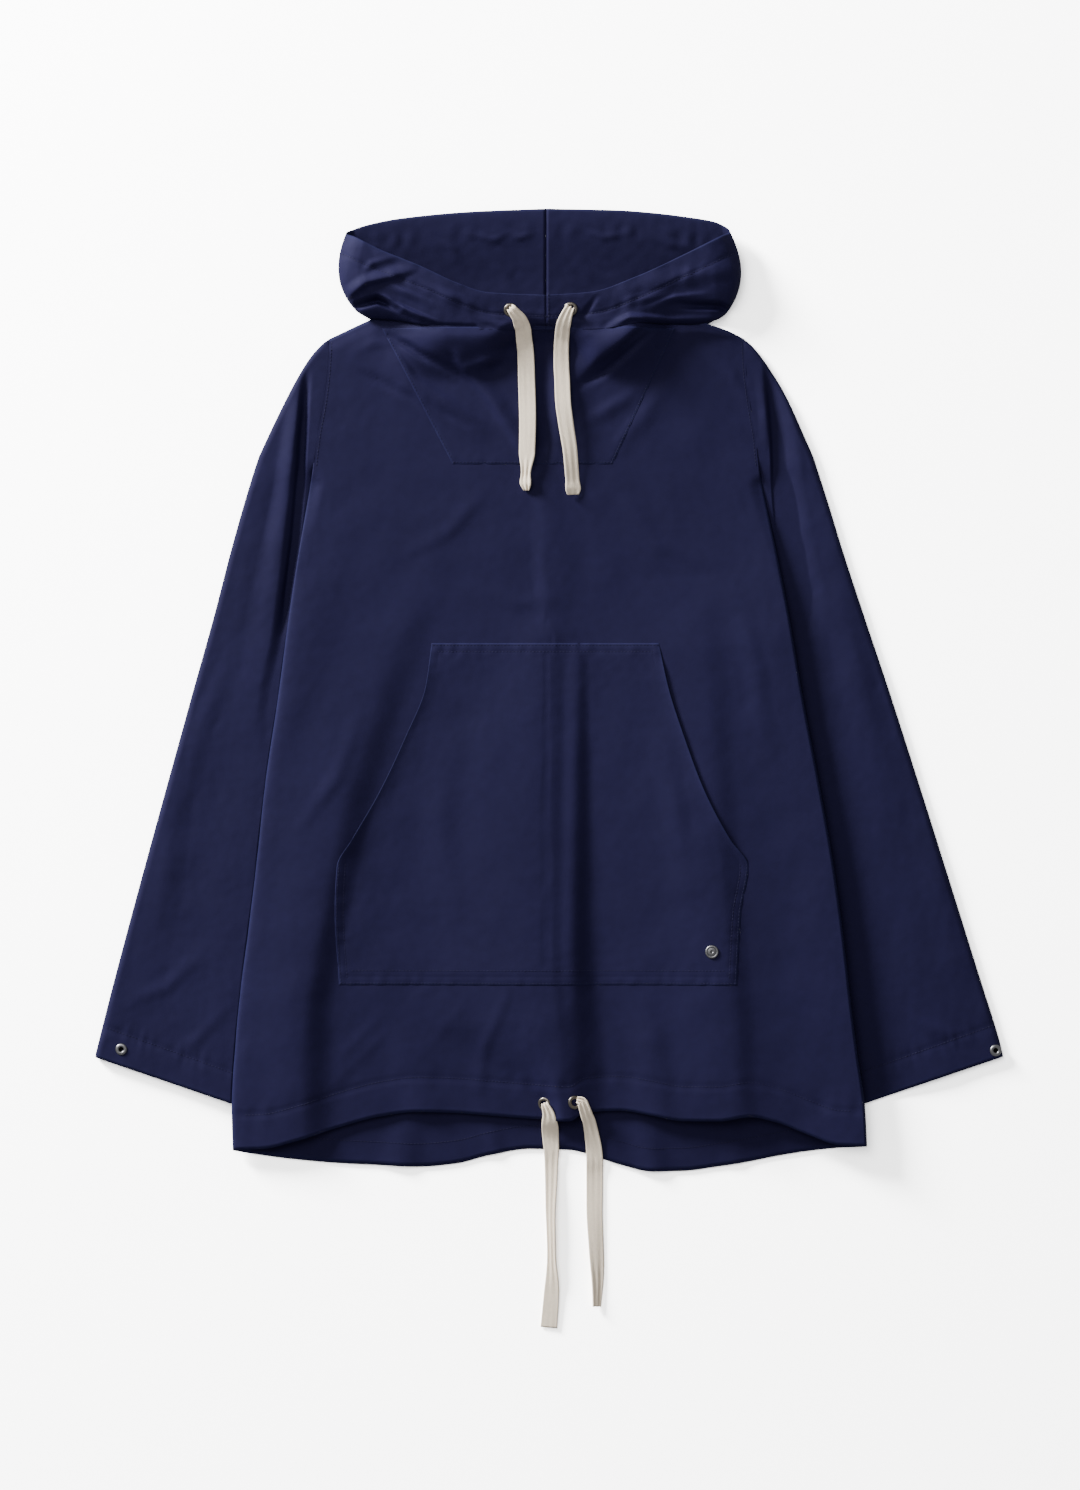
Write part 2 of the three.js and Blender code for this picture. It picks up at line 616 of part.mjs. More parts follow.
// The points of a grid moved by a distance along the grid's own normals.
function offsetGrid(grid, distance) {
  const vector = ([x, y, z]) => new THREE.Vector3(x, y, z);
  const lastRow = grid.length - 1;
  const lastColumn = grid[0].length - 1;
  return grid.map((row, r) => row.map((point, c) => {
    const alongRows = vector(grid[Math.min(lastRow, r + 1)][c]).sub(vector(grid[Math.max(0, r - 1)][c]));
    const alongColumns = vector(row[Math.min(lastColumn, c + 1)]).sub(vector(row[Math.max(0, c - 1)]));
    const normal = alongRows.cross(alongColumns).normalize();
    return vector(point).addScaledVector(normal, distance).toArray();
  }));
}

// A route whose frames stay level across, so that a flat section lies on its wide side.
class LevelRoute extends THREE.CatmullRomCurve3 {
  computeFrenetFrames(segments) {
    const frames = { tangents: [], normals: [], binormals: [] };
    for (let i = 0; i <= segments; i += 1) {
      const tangent = this.getTangentAt(i / segments);
      const across = new THREE.Vector3(0, 0, 1).cross(tangent).normalize();
      frames.tangents.push(tangent);
      frames.normals.push(across);
      frames.binormals.push(tangent.clone().cross(across));
    }
    return frames;
  }
}

// A flat drawtape along its route.
function makeTape(name, route) {
  const curve = new LevelRoute(route.map(([x, y, z]) => new THREE.Vector3(x, y, z)));
  const steps = Math.round(curve.getLength() / (tapeWidth * 0.7));
  const wide = tapeWidth / 2;
  const thin = tapeThickness / 2;
  const corner = thin * 0.6;
  const section = new THREE.Shape([
    new THREE.Vector2(wide, corner - thin),
    new THREE.Vector2(wide, thin - corner),
    new THREE.Vector2(wide - corner, thin),
    new THREE.Vector2(corner - wide, thin),
    new THREE.Vector2(-wide, thin - corner),
    new THREE.Vector2(-wide, corner - thin),
    new THREE.Vector2(corner - wide, -thin),
    new THREE.Vector2(wide - corner, -thin),
  ]);
  const geometry = new THREE.ExtrudeGeometry(section, { steps, bevelEnabled: false, extrudePath: curve });
  const mesh = new THREE.Mesh(geometry, tapeMaterial());
  mesh.name = name;
  return mesh;
}

// A turned metal piece from a closed profile of radius and height, its axis turned to a direction.
function turnedPiece(name, profile, sides, colour, position, direction) {
  const points = profile.map(([radius, height]) => new THREE.Vector2(radius, height));
  const geometry = new THREE.LatheGeometry(points, sides);
  const mesh = new THREE.Mesh(geometry, metalMaterial(colour));
  mesh.name = name;
  mesh.position.set(...position);
  mesh.quaternion.setFromUnitVectors(new THREE.Vector3(0, 1, 0), new THREE.Vector3(...direction).normalize());
  return mesh;
}

function eyelet(name, position, direction) {
  const outer = eyeletOuter / 2;
  const inner = eyeletInner / 2;
  const height = 1.4;
  const profile = [
    [inner, 0], [outer, 0], [outer, 0.4], [outer - 1, height], [inner + 0.6, height], [inner, 0.7], [inner, 0],
  ];
  return turnedPiece(name, profile, 20, eyeletColour, position, direction);
}

function domedButton(name, width, height, position, direction) {
  const radius = width / 2;
  const rim = 0.8;
  const profile = [[0, 0], [radius, 0], [radius, rim]];
  for (let i = 1; i <= 3; i += 1) {
    const angle = (Math.PI / 2) * (i / 3);
    profile.push([radius * Math.cos(angle * 0.999), rim + (height - rim) * Math.sin(angle)]);
  }
  profile[profile.length - 1][0] = 0;
  return turnedPiece(name, profile, 20, snapColour, position, direction);
}

const group = new THREE.Group();
group.add(makeBack());
group.add(makeFront());
group.add(patchOnFront('neck_inset', insetSides, 1, insetWall));
group.add(patchOnFront('pocket', pocketSides, 12, pocketWall));
group.add(makeSleeve('sleeve_left', -1, bodyLeft, columnCurve(leftSleeveOuter, 'y', 'x'), leftSleeveFolds));
group.add(makeSleeve('sleeve_right', 1, bodyRight, columnCurve(rightSleeveOuter, 'y', 'x'), rightSleeveFolds));
group.add(makeHoodHalf('hood_left', -1, leftHoodRows));
group.add(makeHoodHalf('hood_right', 1, rightHoodRows));
for (const [name, route] of Object.entries(tapeRoutes)) group.add(makeTape(name, route));
group.add(eyelet('eyelet_hood_left', [-37, 360, 24.2], [0.08, -0.5, 1]));
group.add(eyelet('eyelet_hood_right', [20, 361, 24], [-0.08, -0.5, 1]));
group.add(eyelet('eyelet_hem_left', [-5, -393, 7.9], [-0.2, 0, 1]));
group.add(eyelet('eyelet_hem_right', [24, -391, 10.8], [0.62, 0, 1]));
group.add(domedButton('pocket_stud', studWidth, 2.6, [154, -248, 7.8], [0.03, 0, 1]));
group.add(domedButton('snap_cuff_left', snapWidth, 2.2, [-407, -341, 7.6], [0, 0, 1]));
group.add(domedButton('snap_cuff_right', snapWidth, 2.2, [424, -342, 8.8], [0.6, 0, 1]));

export default group;
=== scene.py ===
import math

import bpy
import numpy as np
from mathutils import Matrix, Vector, noise


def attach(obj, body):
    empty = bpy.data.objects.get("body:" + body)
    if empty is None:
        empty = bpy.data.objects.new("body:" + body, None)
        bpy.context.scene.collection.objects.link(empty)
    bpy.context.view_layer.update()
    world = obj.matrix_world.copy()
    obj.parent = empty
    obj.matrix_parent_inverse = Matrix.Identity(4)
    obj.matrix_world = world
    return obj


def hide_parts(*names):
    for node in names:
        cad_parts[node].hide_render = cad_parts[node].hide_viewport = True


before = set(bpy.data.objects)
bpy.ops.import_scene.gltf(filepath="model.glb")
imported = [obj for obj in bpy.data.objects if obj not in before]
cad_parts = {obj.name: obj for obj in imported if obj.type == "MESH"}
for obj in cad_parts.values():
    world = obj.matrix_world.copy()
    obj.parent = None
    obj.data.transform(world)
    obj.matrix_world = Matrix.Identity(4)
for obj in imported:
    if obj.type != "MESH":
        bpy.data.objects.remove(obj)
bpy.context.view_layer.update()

# Camera
# The garment lies flat and is seen from straight above, through a long lens.
# One pixel of the 1080 by 1490 picture covers 0.95 mm of the cloth.
MM = 0.001
picture_size = (1080, 1490)
mm_per_pixel = 0.95
picture_centre_mm = (-9.0, -51.8)
cloth_level_mm = 8.0
lens_mm = 110.0
sensor_mm = 36.0

camera_data = bpy.data.cameras.new("camera")
camera_data.lens = lens_mm
camera_data.sensor_fit = "VERTICAL"
camera_data.sensor_height = sensor_mm
camera_data.clip_end = 20.0
camera = bpy.data.objects.new("camera", camera_data)
bpy.context.scene.collection.objects.link(camera)
camera_height = picture_size[1] * mm_per_pixel * MM * lens_mm / sensor_mm
camera.location = (
    picture_centre_mm[0] * MM,
    picture_centre_mm[1] * MM,
    camera_height + cloth_level_mm * MM,
)
bpy.context.scene.camera = camera

# Drawtapes
# Flat herringbone cotton tapes, 16 mm wide, that come out of the eyelets of the hood edge
# and of the hem casing. Their ends are cut, with no knot.
tape_width = 16.0
tape_thickness = 1.1
tape_routes = {
    "tape_hood_left": [
        (-36, 360.5, 28.1), (-33, 357, 26.8), (-29, 352, 24.4), (-27, 347.5, 21.4), (-25.2, 343, 18),
        (-24.5, 337.5, 15), (-24, 332, 12.6), (-23, 325, 11.4), (-22.4, 316, 10.8), (-22, 306, 10.5),
        (-21.8, 296, 10.4), (-21.4, 284, 10.6), (-21, 272, 10.9), (-20.8, 261, 11.4), (-20.8, 250, 11.6),
        (-21, 239, 11.3), (-21.2, 228, 10.8), (-21.6, 215, 9.8), (-22, 203, 8.4), (-22, 190, 7.6),
    ],
    "tape_hood_right": [
        (19, 361, 27.8), (17, 357, 26.6), (15, 352, 24.2), (13.6, 347.5, 21.4), (12.5, 343, 18),
        (12, 337.5, 15), (11.5, 332, 12.6), (11.2, 324, 11.3), (11.2, 316, 10.8), (11.4, 306, 10.9),
        (12, 296, 11.5), (12.4, 284, 12.5), (13, 272, 13.3), (14.4, 261, 13.3), (16, 250, 12.9),
        (17.8, 239, 12.3), (19.4, 228, 11.5), (20.6, 214, 10), (21.6, 200, 8.2), (22.3, 186, 7.5),
    ],
    "tape_hem_left": [
        (-4, -394, 12.2), (-2.4, -398, 12.1), (-1, -402, 11.8), (-0.4, -406.5, 11.2), (0, -411, 10),
        (0.6, -417, 7.2), (1, -424, 4.8), (1.5, -431, 3.6), (2, -438, 3), (2, -452, 1.5), (2, -470, 1.1),
        (2, -495, 1.1), (3, -525, 1.1), (3, -555, 1.1), (1.4, -582, 1.1), (-0.6, -606, 1.1),
    ],
    "tape_hem_right": [
        (31, -390, 14.4), (32.6, -394.5, 13.6), (34, -399, 12.4), (35.6, -404, 10.8), (37.5, -409, 8.8),
        (39, -416, 6.6), (40.5, -424, 5), (41.5, -430, 4.3), (42.3, -436, 3.8), (43, -447, 3.3),
        (43, -460, 1.6), (43, -475, 1.1), (43, -500, 1.1), (44.5, -530, 1.1), (45.5, -558, 1.1),
        (44.5, -586, 1.1),
    ],
}
# Where each tape comes up through its eyelet.
tape_roots = {
    "tape_hood_left": (-37.2, 361.8, 25.4), "tape_hood_right": (19.9, 362.6, 25.2),
    "tape_hem_left": (-4.8, -391.8, 11.0), "tape_hem_right": (26.0, -388.4, 13.6),
}
# How wide each tape looks along its length, as shares of its full width: it bunches in its
# eyelet and turns a little on its edge further on. Lean is the turn in degrees.
tape_shapes = {
    "tape_hood_left": [
        {"share": 0.0, "width": 0.5, "lean": 0}, {"share": 0.05, "width": 0.68, "lean": 0},
        {"share": 0.12, "width": 0.92, "lean": 0},
        {"share": 0.5, "width": 1.0, "lean": 0}, {"share": 0.8, "width": 0.95, "lean": 6},
        {"share": 0.91, "width": 0.6, "lean": 20}, {"share": 0.96, "width": 0.72, "lean": 24},
        {"share": 1.0, "width": 0.34, "lean": 10},
    ],
    "tape_hood_right": [
        {"share": 0.0, "width": 0.5, "lean": 0}, {"share": 0.05, "width": 0.68, "lean": 0},
        {"share": 0.12, "width": 0.86, "lean": 0},
        {"share": 0.5, "width": 0.92, "lean": -4}, {"share": 0.92, "width": 0.84, "lean": -10},
        {"share": 0.97, "width": 0.96, "lean": -16}, {"share": 1.0, "width": 0.7, "lean": -12},
    ],
    "tape_hem_left": [
        {"share": 0.0, "width": 0.4, "lean": 0}, {"share": 0.05, "width": 0.7, "lean": 0},
        {"share": 0.12, "width": 1.0, "lean": 0},
        {"share": 0.3, "width": 0.8, "lean": 10}, {"share": 0.6, "width": 0.62, "lean": 30},
        {"share": 0.68, "width": 0.6, "lean": 30}, {"share": 0.85, "width": 0.92, "lean": 6},
        {"share": 1.0, "width": 1.0, "lean": 0},
    ],
    "tape_hem_right": [
        {"share": 0.0, "width": 0.4, "lean": 0}, {"share": 0.05, "width": 0.66, "lean": 0},
        {"share": 0.12, "width": 0.76, "lean": 0},
        {"share": 0.35, "width": 1.0, "lean": 0}, {"share": 0.75, "width": 0.9, "lean": -6},
        {"share": 1.0, "width": 0.55, "lean": -24},
    ],
}


def column_curve(rows, key, column):
    """A smooth curve through one column of a table, which never overshoots its rows."""
    keys = np.array([row[key] for row in rows], dtype=float)
    values = np.array([row[column] for row in rows], dtype=float)
    steps = np.diff(values) / np.diff(keys)
    slopes = np.zeros(len(keys))
    slopes[0] = steps[0]
    slopes[-1] = steps[-1]
    for i in range(1, len(keys) - 1):
        before, after = steps[i - 1], steps[i]
        if before * after > 0:
            slopes[i] = 2 * before * after / (before + after)

    def curve(place):
        at = np.clip(place, keys[0], keys[-1])
        i = np.clip(np.searchsorted(keys, at, side="right") - 1, 0, len(keys) - 2)
        span = keys[i + 1] - keys[i]
        t = (at - keys[i]) / span
        rest = 1 - t
        start = values[i] * (1 + 2 * t) * rest * rest + slopes[i] * span * t * rest * rest
        end = values[i + 1] * t * t * (3 - 2 * t) - slopes[i + 1] * span * t * t * rest
        return start + end

    return curve


def smooth_route(points, step):
    """Points a fixed step apart on a smooth curve through a route, and their shares of its length."""
    route = np.array(points, dtype=float)
    ends = np.vstack([2 * route[0] - route[1], route, 2 * route[-1] - route[-2]])
    fine = []
    for i in range(1, len(ends) - 2):
        a, b, c, d = ends[i - 1], ends[i], ends[i + 1], ends[i + 2]
        for t in np.linspace(0, 1, 12, endpoint=False):
            fine.append(0.5 * (2 * b + (c - a) * t + (2 * a - 5 * b + 4 * c - d) * t * t
                               + (3 * b - a - 3 * c + d) * t ** 3))
    fine.append(route[-1])
    fine = np.array(fine)
    along = np.concatenate([[0], np.cumsum(np.linalg.norm(np.diff(fine, axis=0), axis=1))])
    count = max(2, int(round(along[-1] / step)) + 1)
    shares = np.linspace(0, 1, count)
    places = np.column_stack([np.interp(shares * along[-1], along, fine[:, k]) for k in range(3)])
    return places, shares, along[-1]


def grid_mesh(name, outer, inner, closed_across, uv):
    """A closed thin shell between two grids of points in mm, with its UV map in metres."""
    rows, columns = outer.shape[:2]
    points = np.concatenate([outer.reshape(-1, 3), inner.reshape(-1, 3)]) * MM
    offset = rows * columns
    across = columns if closed_across else columns - 1

    def at(row, column):
        return row * columns + column % columns

    faces = []
    for r in range(rows - 1):
        for c in range(across):
            quad = (at(r, c), at(r, c + 1), at(r + 1, c + 1), at(r + 1, c))
            faces.append(quad)
            faces.append(tuple(offset + i for i in (quad[0], quad[3], quad[2], quad[1])))
    smooth = [True] * len(faces)
    for c in range(across):
        faces.append((at(0, c), offset + at(0, c), offset + at(0, c + 1), at(0, c + 1)))
        top = rows - 1
        faces.append((at(top, c), at(top, c + 1), offset + at(top, c + 1), offset + at(top, c)))
    if not closed_across:
        edge = columns - 1
        for r in range(rows - 1):
            faces.append((at(r, 0), at(r + 1, 0), offset + at(r + 1, 0), offset + at(r, 0)))
            faces.append((at(r, edge), offset + at(r, edge), offset + at(r + 1, edge), at(r + 1, edge)))
    mesh = bpy.data.meshes.new(name)
    mesh.from_pydata(points.tolist(), [], faces)
    layer = mesh.uv_layers.new(name="cloth")
    flat = np.concatenate([uv.reshape(-1, 2), uv.reshape(-1, 2)])
    corners = np.empty(len(mesh.loops), dtype=np.int32)
    mesh.loops.foreach_get("vertex_index", corners)
    layer.data.foreach_set("uv", flat[corners].ravel())
    smooth += [False] * (len(faces) - len(smooth))
    mesh.polygons.foreach_set("use_smooth", smooth)
    mesh.validate()
    return mesh


def place_piece(name, mesh, material, slot, *nodes):
    """The finished piece: linked, given its material, riding on the body, in place of its nodes."""
    piece = bpy.data.objects.new(name, mesh)
    bpy.context.scene.collection.objects.link(piece)
    mesh.materials.append(material)
    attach(piece, "root")
    if nodes:
        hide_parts(*nodes)
    return piece


def link(tree, source, output, target, socket):
    tree.links.new(source.outputs[output], target.inputs[socket])


def math_node(tree, operation, first, second=None, clamp=False):
    node = tree.nodes.new("ShaderNodeMath")
    node.operation = operation
    node.use_clamp = clamp
    for socket, value in zip(node.inputs, (first, second)):
        if value is None:
            continue
        if isinstance(value, (int, float)):
            socket.default_value = value
        else:
            tree.links.new(value, socket)
    return node.outputs[0]


def new_group(name, inputs, outputs):
    group = bpy.data.node_groups.new(name, "ShaderNodeTree")
    for title, kind, value in inputs:
        socket = group.interface.new_socket(title, in_out="INPUT", socket_type=kind)
        if value is not None:
            socket.default_value = value
    for title, kind in outputs:
        group.interface.new_socket(title, in_out="OUTPUT", socket_type=kind)
    return group


def set_inputs(node, values):
    for title, value in values.items():
        node.inputs[title].default_value = value


def build_washed_group():
    """Soft uneven tone of washed cotton: two noises that lighten and darken a colour."""
    group = new_group(
        "washed_tone",
        [("Color", "NodeSocketColor", (0.5, 0.5, 0.5, 1)), ("Scale", "NodeSocketFloat", 20.0),
         ("Amount", "NodeSocketFloat", 0.2)],
        [("Color", "NodeSocketColor")],
    )
    start = group.nodes.new("NodeGroupInput")
    end = group.nodes.new("NodeGroupOutput")
    place = group.nodes.new("ShaderNodeTexCoord")
    broad = group.nodes.new("ShaderNodeTexNoise")
    fine = group.nodes.new("ShaderNodeTexNoise")
    link(group, place, "Object", broad, "Vector")
    link(group, place, "Object", fine, "Vector")
    link(group, start, "Scale", broad, "Scale")
    group.links.new(math_node(group, "MULTIPLY", start.outputs["Scale"], 14.0), fine.inputs["Scale"])
    both = math_node(group, "ADD", broad.outputs["Fac"], fine.outputs["Fac"])
    centred = math_node(group, "SUBTRACT", both, 1.0)
    value = math_node(group, "MULTIPLY_ADD", centred, start.outputs["Amount"])
    value.node.inputs[2].default_value = 1.0
    tone = group.nodes.new("ShaderNodeHueSaturation")
    group.links.new(value, tone.inputs["Value"])
    link(group, start, "Color", tone, "Color")
    link(group, tone, "Color", end, "Color")
    return group


washed_tone = build_washed_group()


def new_material(name):
    """A material, its node tree and its surface shader."""
    material = bpy.data.materials.new(name)
    material.use_nodes = True
    return material, material.node_tree, material.node_tree.nodes["Principled BSDF"]


def add_tone(tree, colour, scale, amount):
    """A colour with the washed tone over it."""
    tone = tree.nodes.new("ShaderNodeGroup")
    tone.node_tree = washed_tone
    set_inputs(tone, {"Color": (*colour, 1), "Scale": scale, "Amount": amount})
    return tone


def add_colour_mix(tree, other):
    """A mix of a colour with another one, by its factor."""
    mix = tree.nodes.new("ShaderNodeMix")
    mix.data_type = "RGBA"
    mix.inputs["B"].default_value = (*other, 1)
    return mix


def add_bump(tree, strength, distance):
    bump = tree.nodes.new("ShaderNodeBump")
    set_inputs(bump, {"Strength": strength, "Distance": distance})
    return bump


def build_herringbone_group():
    """Zigzag ribs of a woven tape, from its UV map in metres: ribs lean one way, then the other."""
    group = new_group(
        "herringbone",
        [("Column", "NodeSocketFloat", 0.0027), ("Rib", "NodeSocketFloat", 0.0011)],
        [("Height", "NodeSocketFloat"), ("Groove", "NodeSocketFloat")],
    )
    start = group.nodes.new("NodeGroupInput")
    end = group.nodes.new("NodeGroupOutput")
    uv = group.nodes.new("ShaderNodeUVMap")
    uv.uv_map = "cloth"
    parts = group.nodes.new("ShaderNodeSeparateXYZ")
    link(group, uv, "UV", parts, "Vector")
    column = math_node(group, "DIVIDE", parts.outputs["X"], start.outputs["Column"])
    zigzag = math_node(group, "PINGPONG", column, 1.0)
    leaning = math_node(group, "MULTIPLY", zigzag, start.outputs["Column"])
    shifted = math_node(group, "ADD", parts.outputs["Y"], leaning)
    turns = math_node(group, "DIVIDE", shifted, start.outputs["Rib"])
    angle = math_node(group, "MULTIPLY", turns, 2 * math.pi)
    wave = math_node(group, "SINE", angle)
    height = math_node(group, "MULTIPLY_ADD", wave, 0.5)
    height.node.inputs[2].default_value = 0.5
    nearest = math_node(group, "FRACT", column)
    side = math_node(group, "PINGPONG", nearest, 0.5)
    groove = math_node(group, "LESS_THAN", side, 0.08)
    group.links.new(height, end.inputs["Height"])
    group.links.new(groove, end.inputs["Groove"])
    return group


def make_tape_material():
    material, tree, surface = new_material("ecru_tape")
    weave = tree.nodes.new("ShaderNodeGroup")
    weave.node_tree = build_herringbone_group()
    tone = add_tone(tree, (0.99, 0.86, 0.69), 30.0, 0.16)
    # Painted shade: the low parts of the herringbone weave are darkened, as if shaded by the ribs beside
    # them.
    painted_shade_mix = add_colour_mix(tree, (0.72, 0.66, 0.6))
    painted_shade_mix.blend_type = "MULTIPLY"
    depth = math_node(tree, "SUBTRACT", 1.0, weave.outputs["Height"])
    tree.links.new(math_node(tree, "MULTIPLY", depth, 0.4), painted_shade_mix.inputs["Factor"])
    link(tree, tone, "Color", painted_shade_mix, "A")
    tree.links.new(painted_shade_mix.outputs["Result"], surface.inputs["Base Color"])
    bump = add_bump(tree, 0.6, 0.0004)
    link(tree, weave, "Height", bump, "Height")
    link(tree, bump, "Normal", surface, "Normal")
    set_inputs(surface, {
        "Roughness": 0.85, "Specular IOR Level": 0.2, "Sheen Weight": 0.15, "Sheen Roughness": 0.5,
    })
    return material


tape_material = make_tape_material()


def make_tape(name):
    length = smooth_route(tape_routes[name], 1.6)[2]
    places, shares, whole = smooth_route([tape_roots[name]] + tape_routes[name], 1.6)
    width_at = column_curve(tape_shapes[name], "share", "width")
    lean_at = column_curve(tape_shapes[name], "share", "lean")
    tangents = np.gradient(places, axis=0)
    tangents /= np.linalg.norm(tangents, axis=1)[:, None]
    across = np.cross([0, 0, 1], tangents)
    across /= np.linalg.norm(across, axis=1)[:, None]
    up = np.cross(tangents, across)
    lean = np.radians(lean_at(shares))[:, None]
    side = across * np.cos(lean) + up * np.sin(lean)
    top = up * np.cos(lean) - across * np.sin(lean)
    spread = np.linspace(-1, 1, 17)
    half_width = tape_width / 2 * width_at(shares)
    bunch = 1 - width_at(shares)
    outer = np.zeros((len(places), len(spread), 3))
    inner = np.zeros_like(outer)
    for i, s in enumerate(spread):
        ripple = bunch * 1.6 * math.cos(2.5 * math.pi * s)
        lift = 0.25 * np.sin(shares * whole / 17.0 + s * 1.3) + ripple
        lift += np.abs(half_width * np.sin(lean[:, 0])) * 0.9
        edge = math.sqrt(max(0.0, 1 - abs(s) ** 6))
        middle = places + side * (half_width * s)[:, None] + top * lift[:, None]
        outer[:, i] = middle + top * (tape_thickness / 2) * (0.35 + 0.65 * edge)
        inner[:, i] = middle - top * (tape_thickness / 2) * (0.35 + 0.65 * edge)
    floor = 0.15
    inner[:, :, 2] = np.maximum(inner[:, :, 2], floor)
    outer[:, :, 2] = np.maximum(outer[:, :, 2], inner[:, :, 2] + 0.5)
    uv = np.zeros((len(places), len(spread), 2))
    uv[:, :, 0] = (spread * tape_width / 2 * MM)[None, :]
    uv[:, :, 1] = (shares * whole * MM)[:, None]
    mesh = grid_mesh(name + "_woven", outer[:, ::-1], inner[:, ::-1], False, uv[:, ::-1])
    piece = place_piece(name + "_woven", mesh, tape_material, "tape", name)


for tape_name in tape_routes:
    make_tape(tape_name)

# Back panel
# One piece of light navy cotton, longer than the front, lying on the surface.
# Its inside shows below the front hem, its sides ride up over the sleeves.
wall = 1.8
seam_gap = 0.3
cloth_thickness = 0.8
side_lift = 4.4
grid_step = 3.6
column_crowding = 0.5
body_sides = [
    {"y": -437, "left": -301, "right": 302}, {"y": -398, "left": -302, "right": 300},
    {"y": -347, "left": -299.5, "right": 293}, {"y": -296, "left": -295, "right": 286.5},
    {"y": -234, "left": -287, "right": 279.5}, {"y": -168, "left": -279, "right": 270.5},
    {"y": -91, "left": -270.5, "right": 257}, {"y": -7, "left": -258, "right": 241},
    {"y": 75, "left": -247, "right": 227}, {"y": 133, "left": -238, "right": 215.5},
    {"y": 192, "left": -228, "right": 203}, {"y": 211, "left": -225, "right": 199.5},
    {"y": 240, "left": -221.5, "right": 196.5}, {"y": 276, "left": -215, "right": 190.5},
    {"y": 306, "left": -211.5, "right": 187}, {"y": 334, "left": -210, "right": 185.5},
]
hems = [
    {"x": -302, "front": -436.5, "back": -437}, {"x": -273, "front": -435.5, "back": -442},
    {"x": -241, "front": -428, "back": -446}, {"x": -201, "front": -415.5, "back": -449.5},
    {"x": -161, "front": -405, "back": -451.5}, {"x": -125, "front": -400.5, "back": -453},
    {"x": -89, "front": -401.5, "back": -450}, {"x": -57, "front": -404, "back": -442},
    {"x": -18, "front": -407, "back": -436}, {"x": 18.5, "front": -409, "back": -437},
    {"x": 34, "front": -401, "back": -440}, {"x": 67, "front": -399.5, "back": -451},
    {"x": 98, "front": -404, "back": -457.5}, {"x": 127, "front": -409, "back": -457},
    {"x": 159, "front": -409, "back": -453}, {"x": 190, "front": -405, "back": -448},
    {"x": 215, "front": -410, "back": -443}, {"x": 246, "front": -422, "back": -438},
    {"x": 275, "front": -431.5, "back": -435}, {"x": 302, "front": -432.5, "back": -433.5},
]
tops = [
    {"x": -210, "front": 334, "back": 334}, {"x": -190, "front": 343.5, "back": 343.5},
    {"x": -176, "front": 350, "back": 348}, {"x": -160, "front": 356, "back": 347.5},
    {"x": -142, "front": 357, "back": 343.5}, {"x": -113, "front": 352, "back": 338.5},
    {"x": -75, "front": 348, "back": 335.5}, {"x": 0, "front": 347, "back": 335},
    {"x": 62, "front": 350, "back": 335.5}, {"x": 90, "front": 354, "back": 337.5},
    {"x": 120, "front": 354, "back": 341}, {"x": 142, "front": 351, "back": 344.5},
    {"x": 157, "front": 346.5, "back": 346.2}, {"x": 172, "front": 341, "back": 341},
    {"x": 185.5, "front": 334, "back": 334},
]
back_folds = [
    {"path": [(-132, -395), (-140, -455)], "rise": [1, 2.6], "left": 22, "right": 26},
    {"path": [(92, -395), (100, -459)], "rise": [1, 3.0], "left": 20, "right": 24},
    {"path": [(-60, -400), (-50, -445)], "rise": [0.4, 1.2], "left": 12, "right": 14},
    {"path": [(170, -400), (178, -452)], "rise": [0.3, 1.2], "left": 14, "right": 14},
]


def smoothstep(value, low, high):
    t = np.clip((value - low) / (high - low), 0, 1)
    return t * t * (3 - 2 * t)


def fold_height(fold, x, y):
    """Height that one fold adds: full on its path, fading out to its left and right."""
    path = fold["path"]
    left = np.broadcast_to(fold["left"], len(path))
    right = np.broadcast_to(fold["right"], len(path))
    nearest = np.full(np.shape(x), np.inf)
    height = np.zeros(np.shape(x))
    for i, ((ax, ay), (bx, by)) in enumerate(zip(path, path[1:])):
        length = math.hypot(bx - ax, by - ay)
        along_x, along_y = (bx - ax) / length, (by - ay) / length
        t = np.clip(((x - ax) * along_x + (y - ay) * along_y) / length, 0, 1)
        off_x = x - ax - along_x * length * t
        off_y = y - ay - along_y * length * t
        distance = np.hypot(off_x, off_y)
        on_left = along_x * off_y - along_y * off_x > 0
        left_reach = left[i] + (left[i + 1] - left[i]) * t
        right_reach = right[i] + (right[i + 1] - right[i]) * t
        reach = np.where(on_left, left_reach, right_reach)
        fade = np.maximum(0, 1 - distance / reach)
        rise = fold["rise"][i] + (fold["rise"][i + 1] - fold["rise"][i]) * t
        closer = distance < nearest
        height = np.where(closer, rise * fade * fade * (3 - 2 * fade), height)
        nearest = np.where(closer, distance, nearest)
    return height


def folds_height(folds, x, y):
    total = np.zeros(np.shape(x))
    for fold in folds:
        total = total + fold_height(fold, x, y)
    return total


def rumple(x, y, size, amount, seed):
    """Small soft unevenness of laid cloth."""
    flat_x, flat_y = np.ravel(x), np.ravel(y)
    values = [noise.noise(Vector((px / size, py / size, seed))) for px, py in zip(flat_x, flat_y)]
    return np.reshape(values, np.shape(x)) * amount


body_left = column_curve(body_sides, "y", "left")
body_right = column_curve(body_sides, "y", "right")
front_hem = column_curve(hems, "x", "front")
back_hem = column_curve(hems, "x", "back")
front_top = column_curve(tops, "x", "front")
back_top = column_curve(tops, "x", "back")


def side_rise(x, y):
    inset = np.minimum(x - body_left(y), body_right(y) - x)
    return side_lift * smoothstep(-inset, -26, -10) * smoothstep(-y, -205, -110)


def back_height(x, y):
    folds = np.maximum(0, folds_height(back_folds, x, y))
    return side_rise(x, y) + wall + folds + rumple(x, y, 24, 0.25, 3.1)


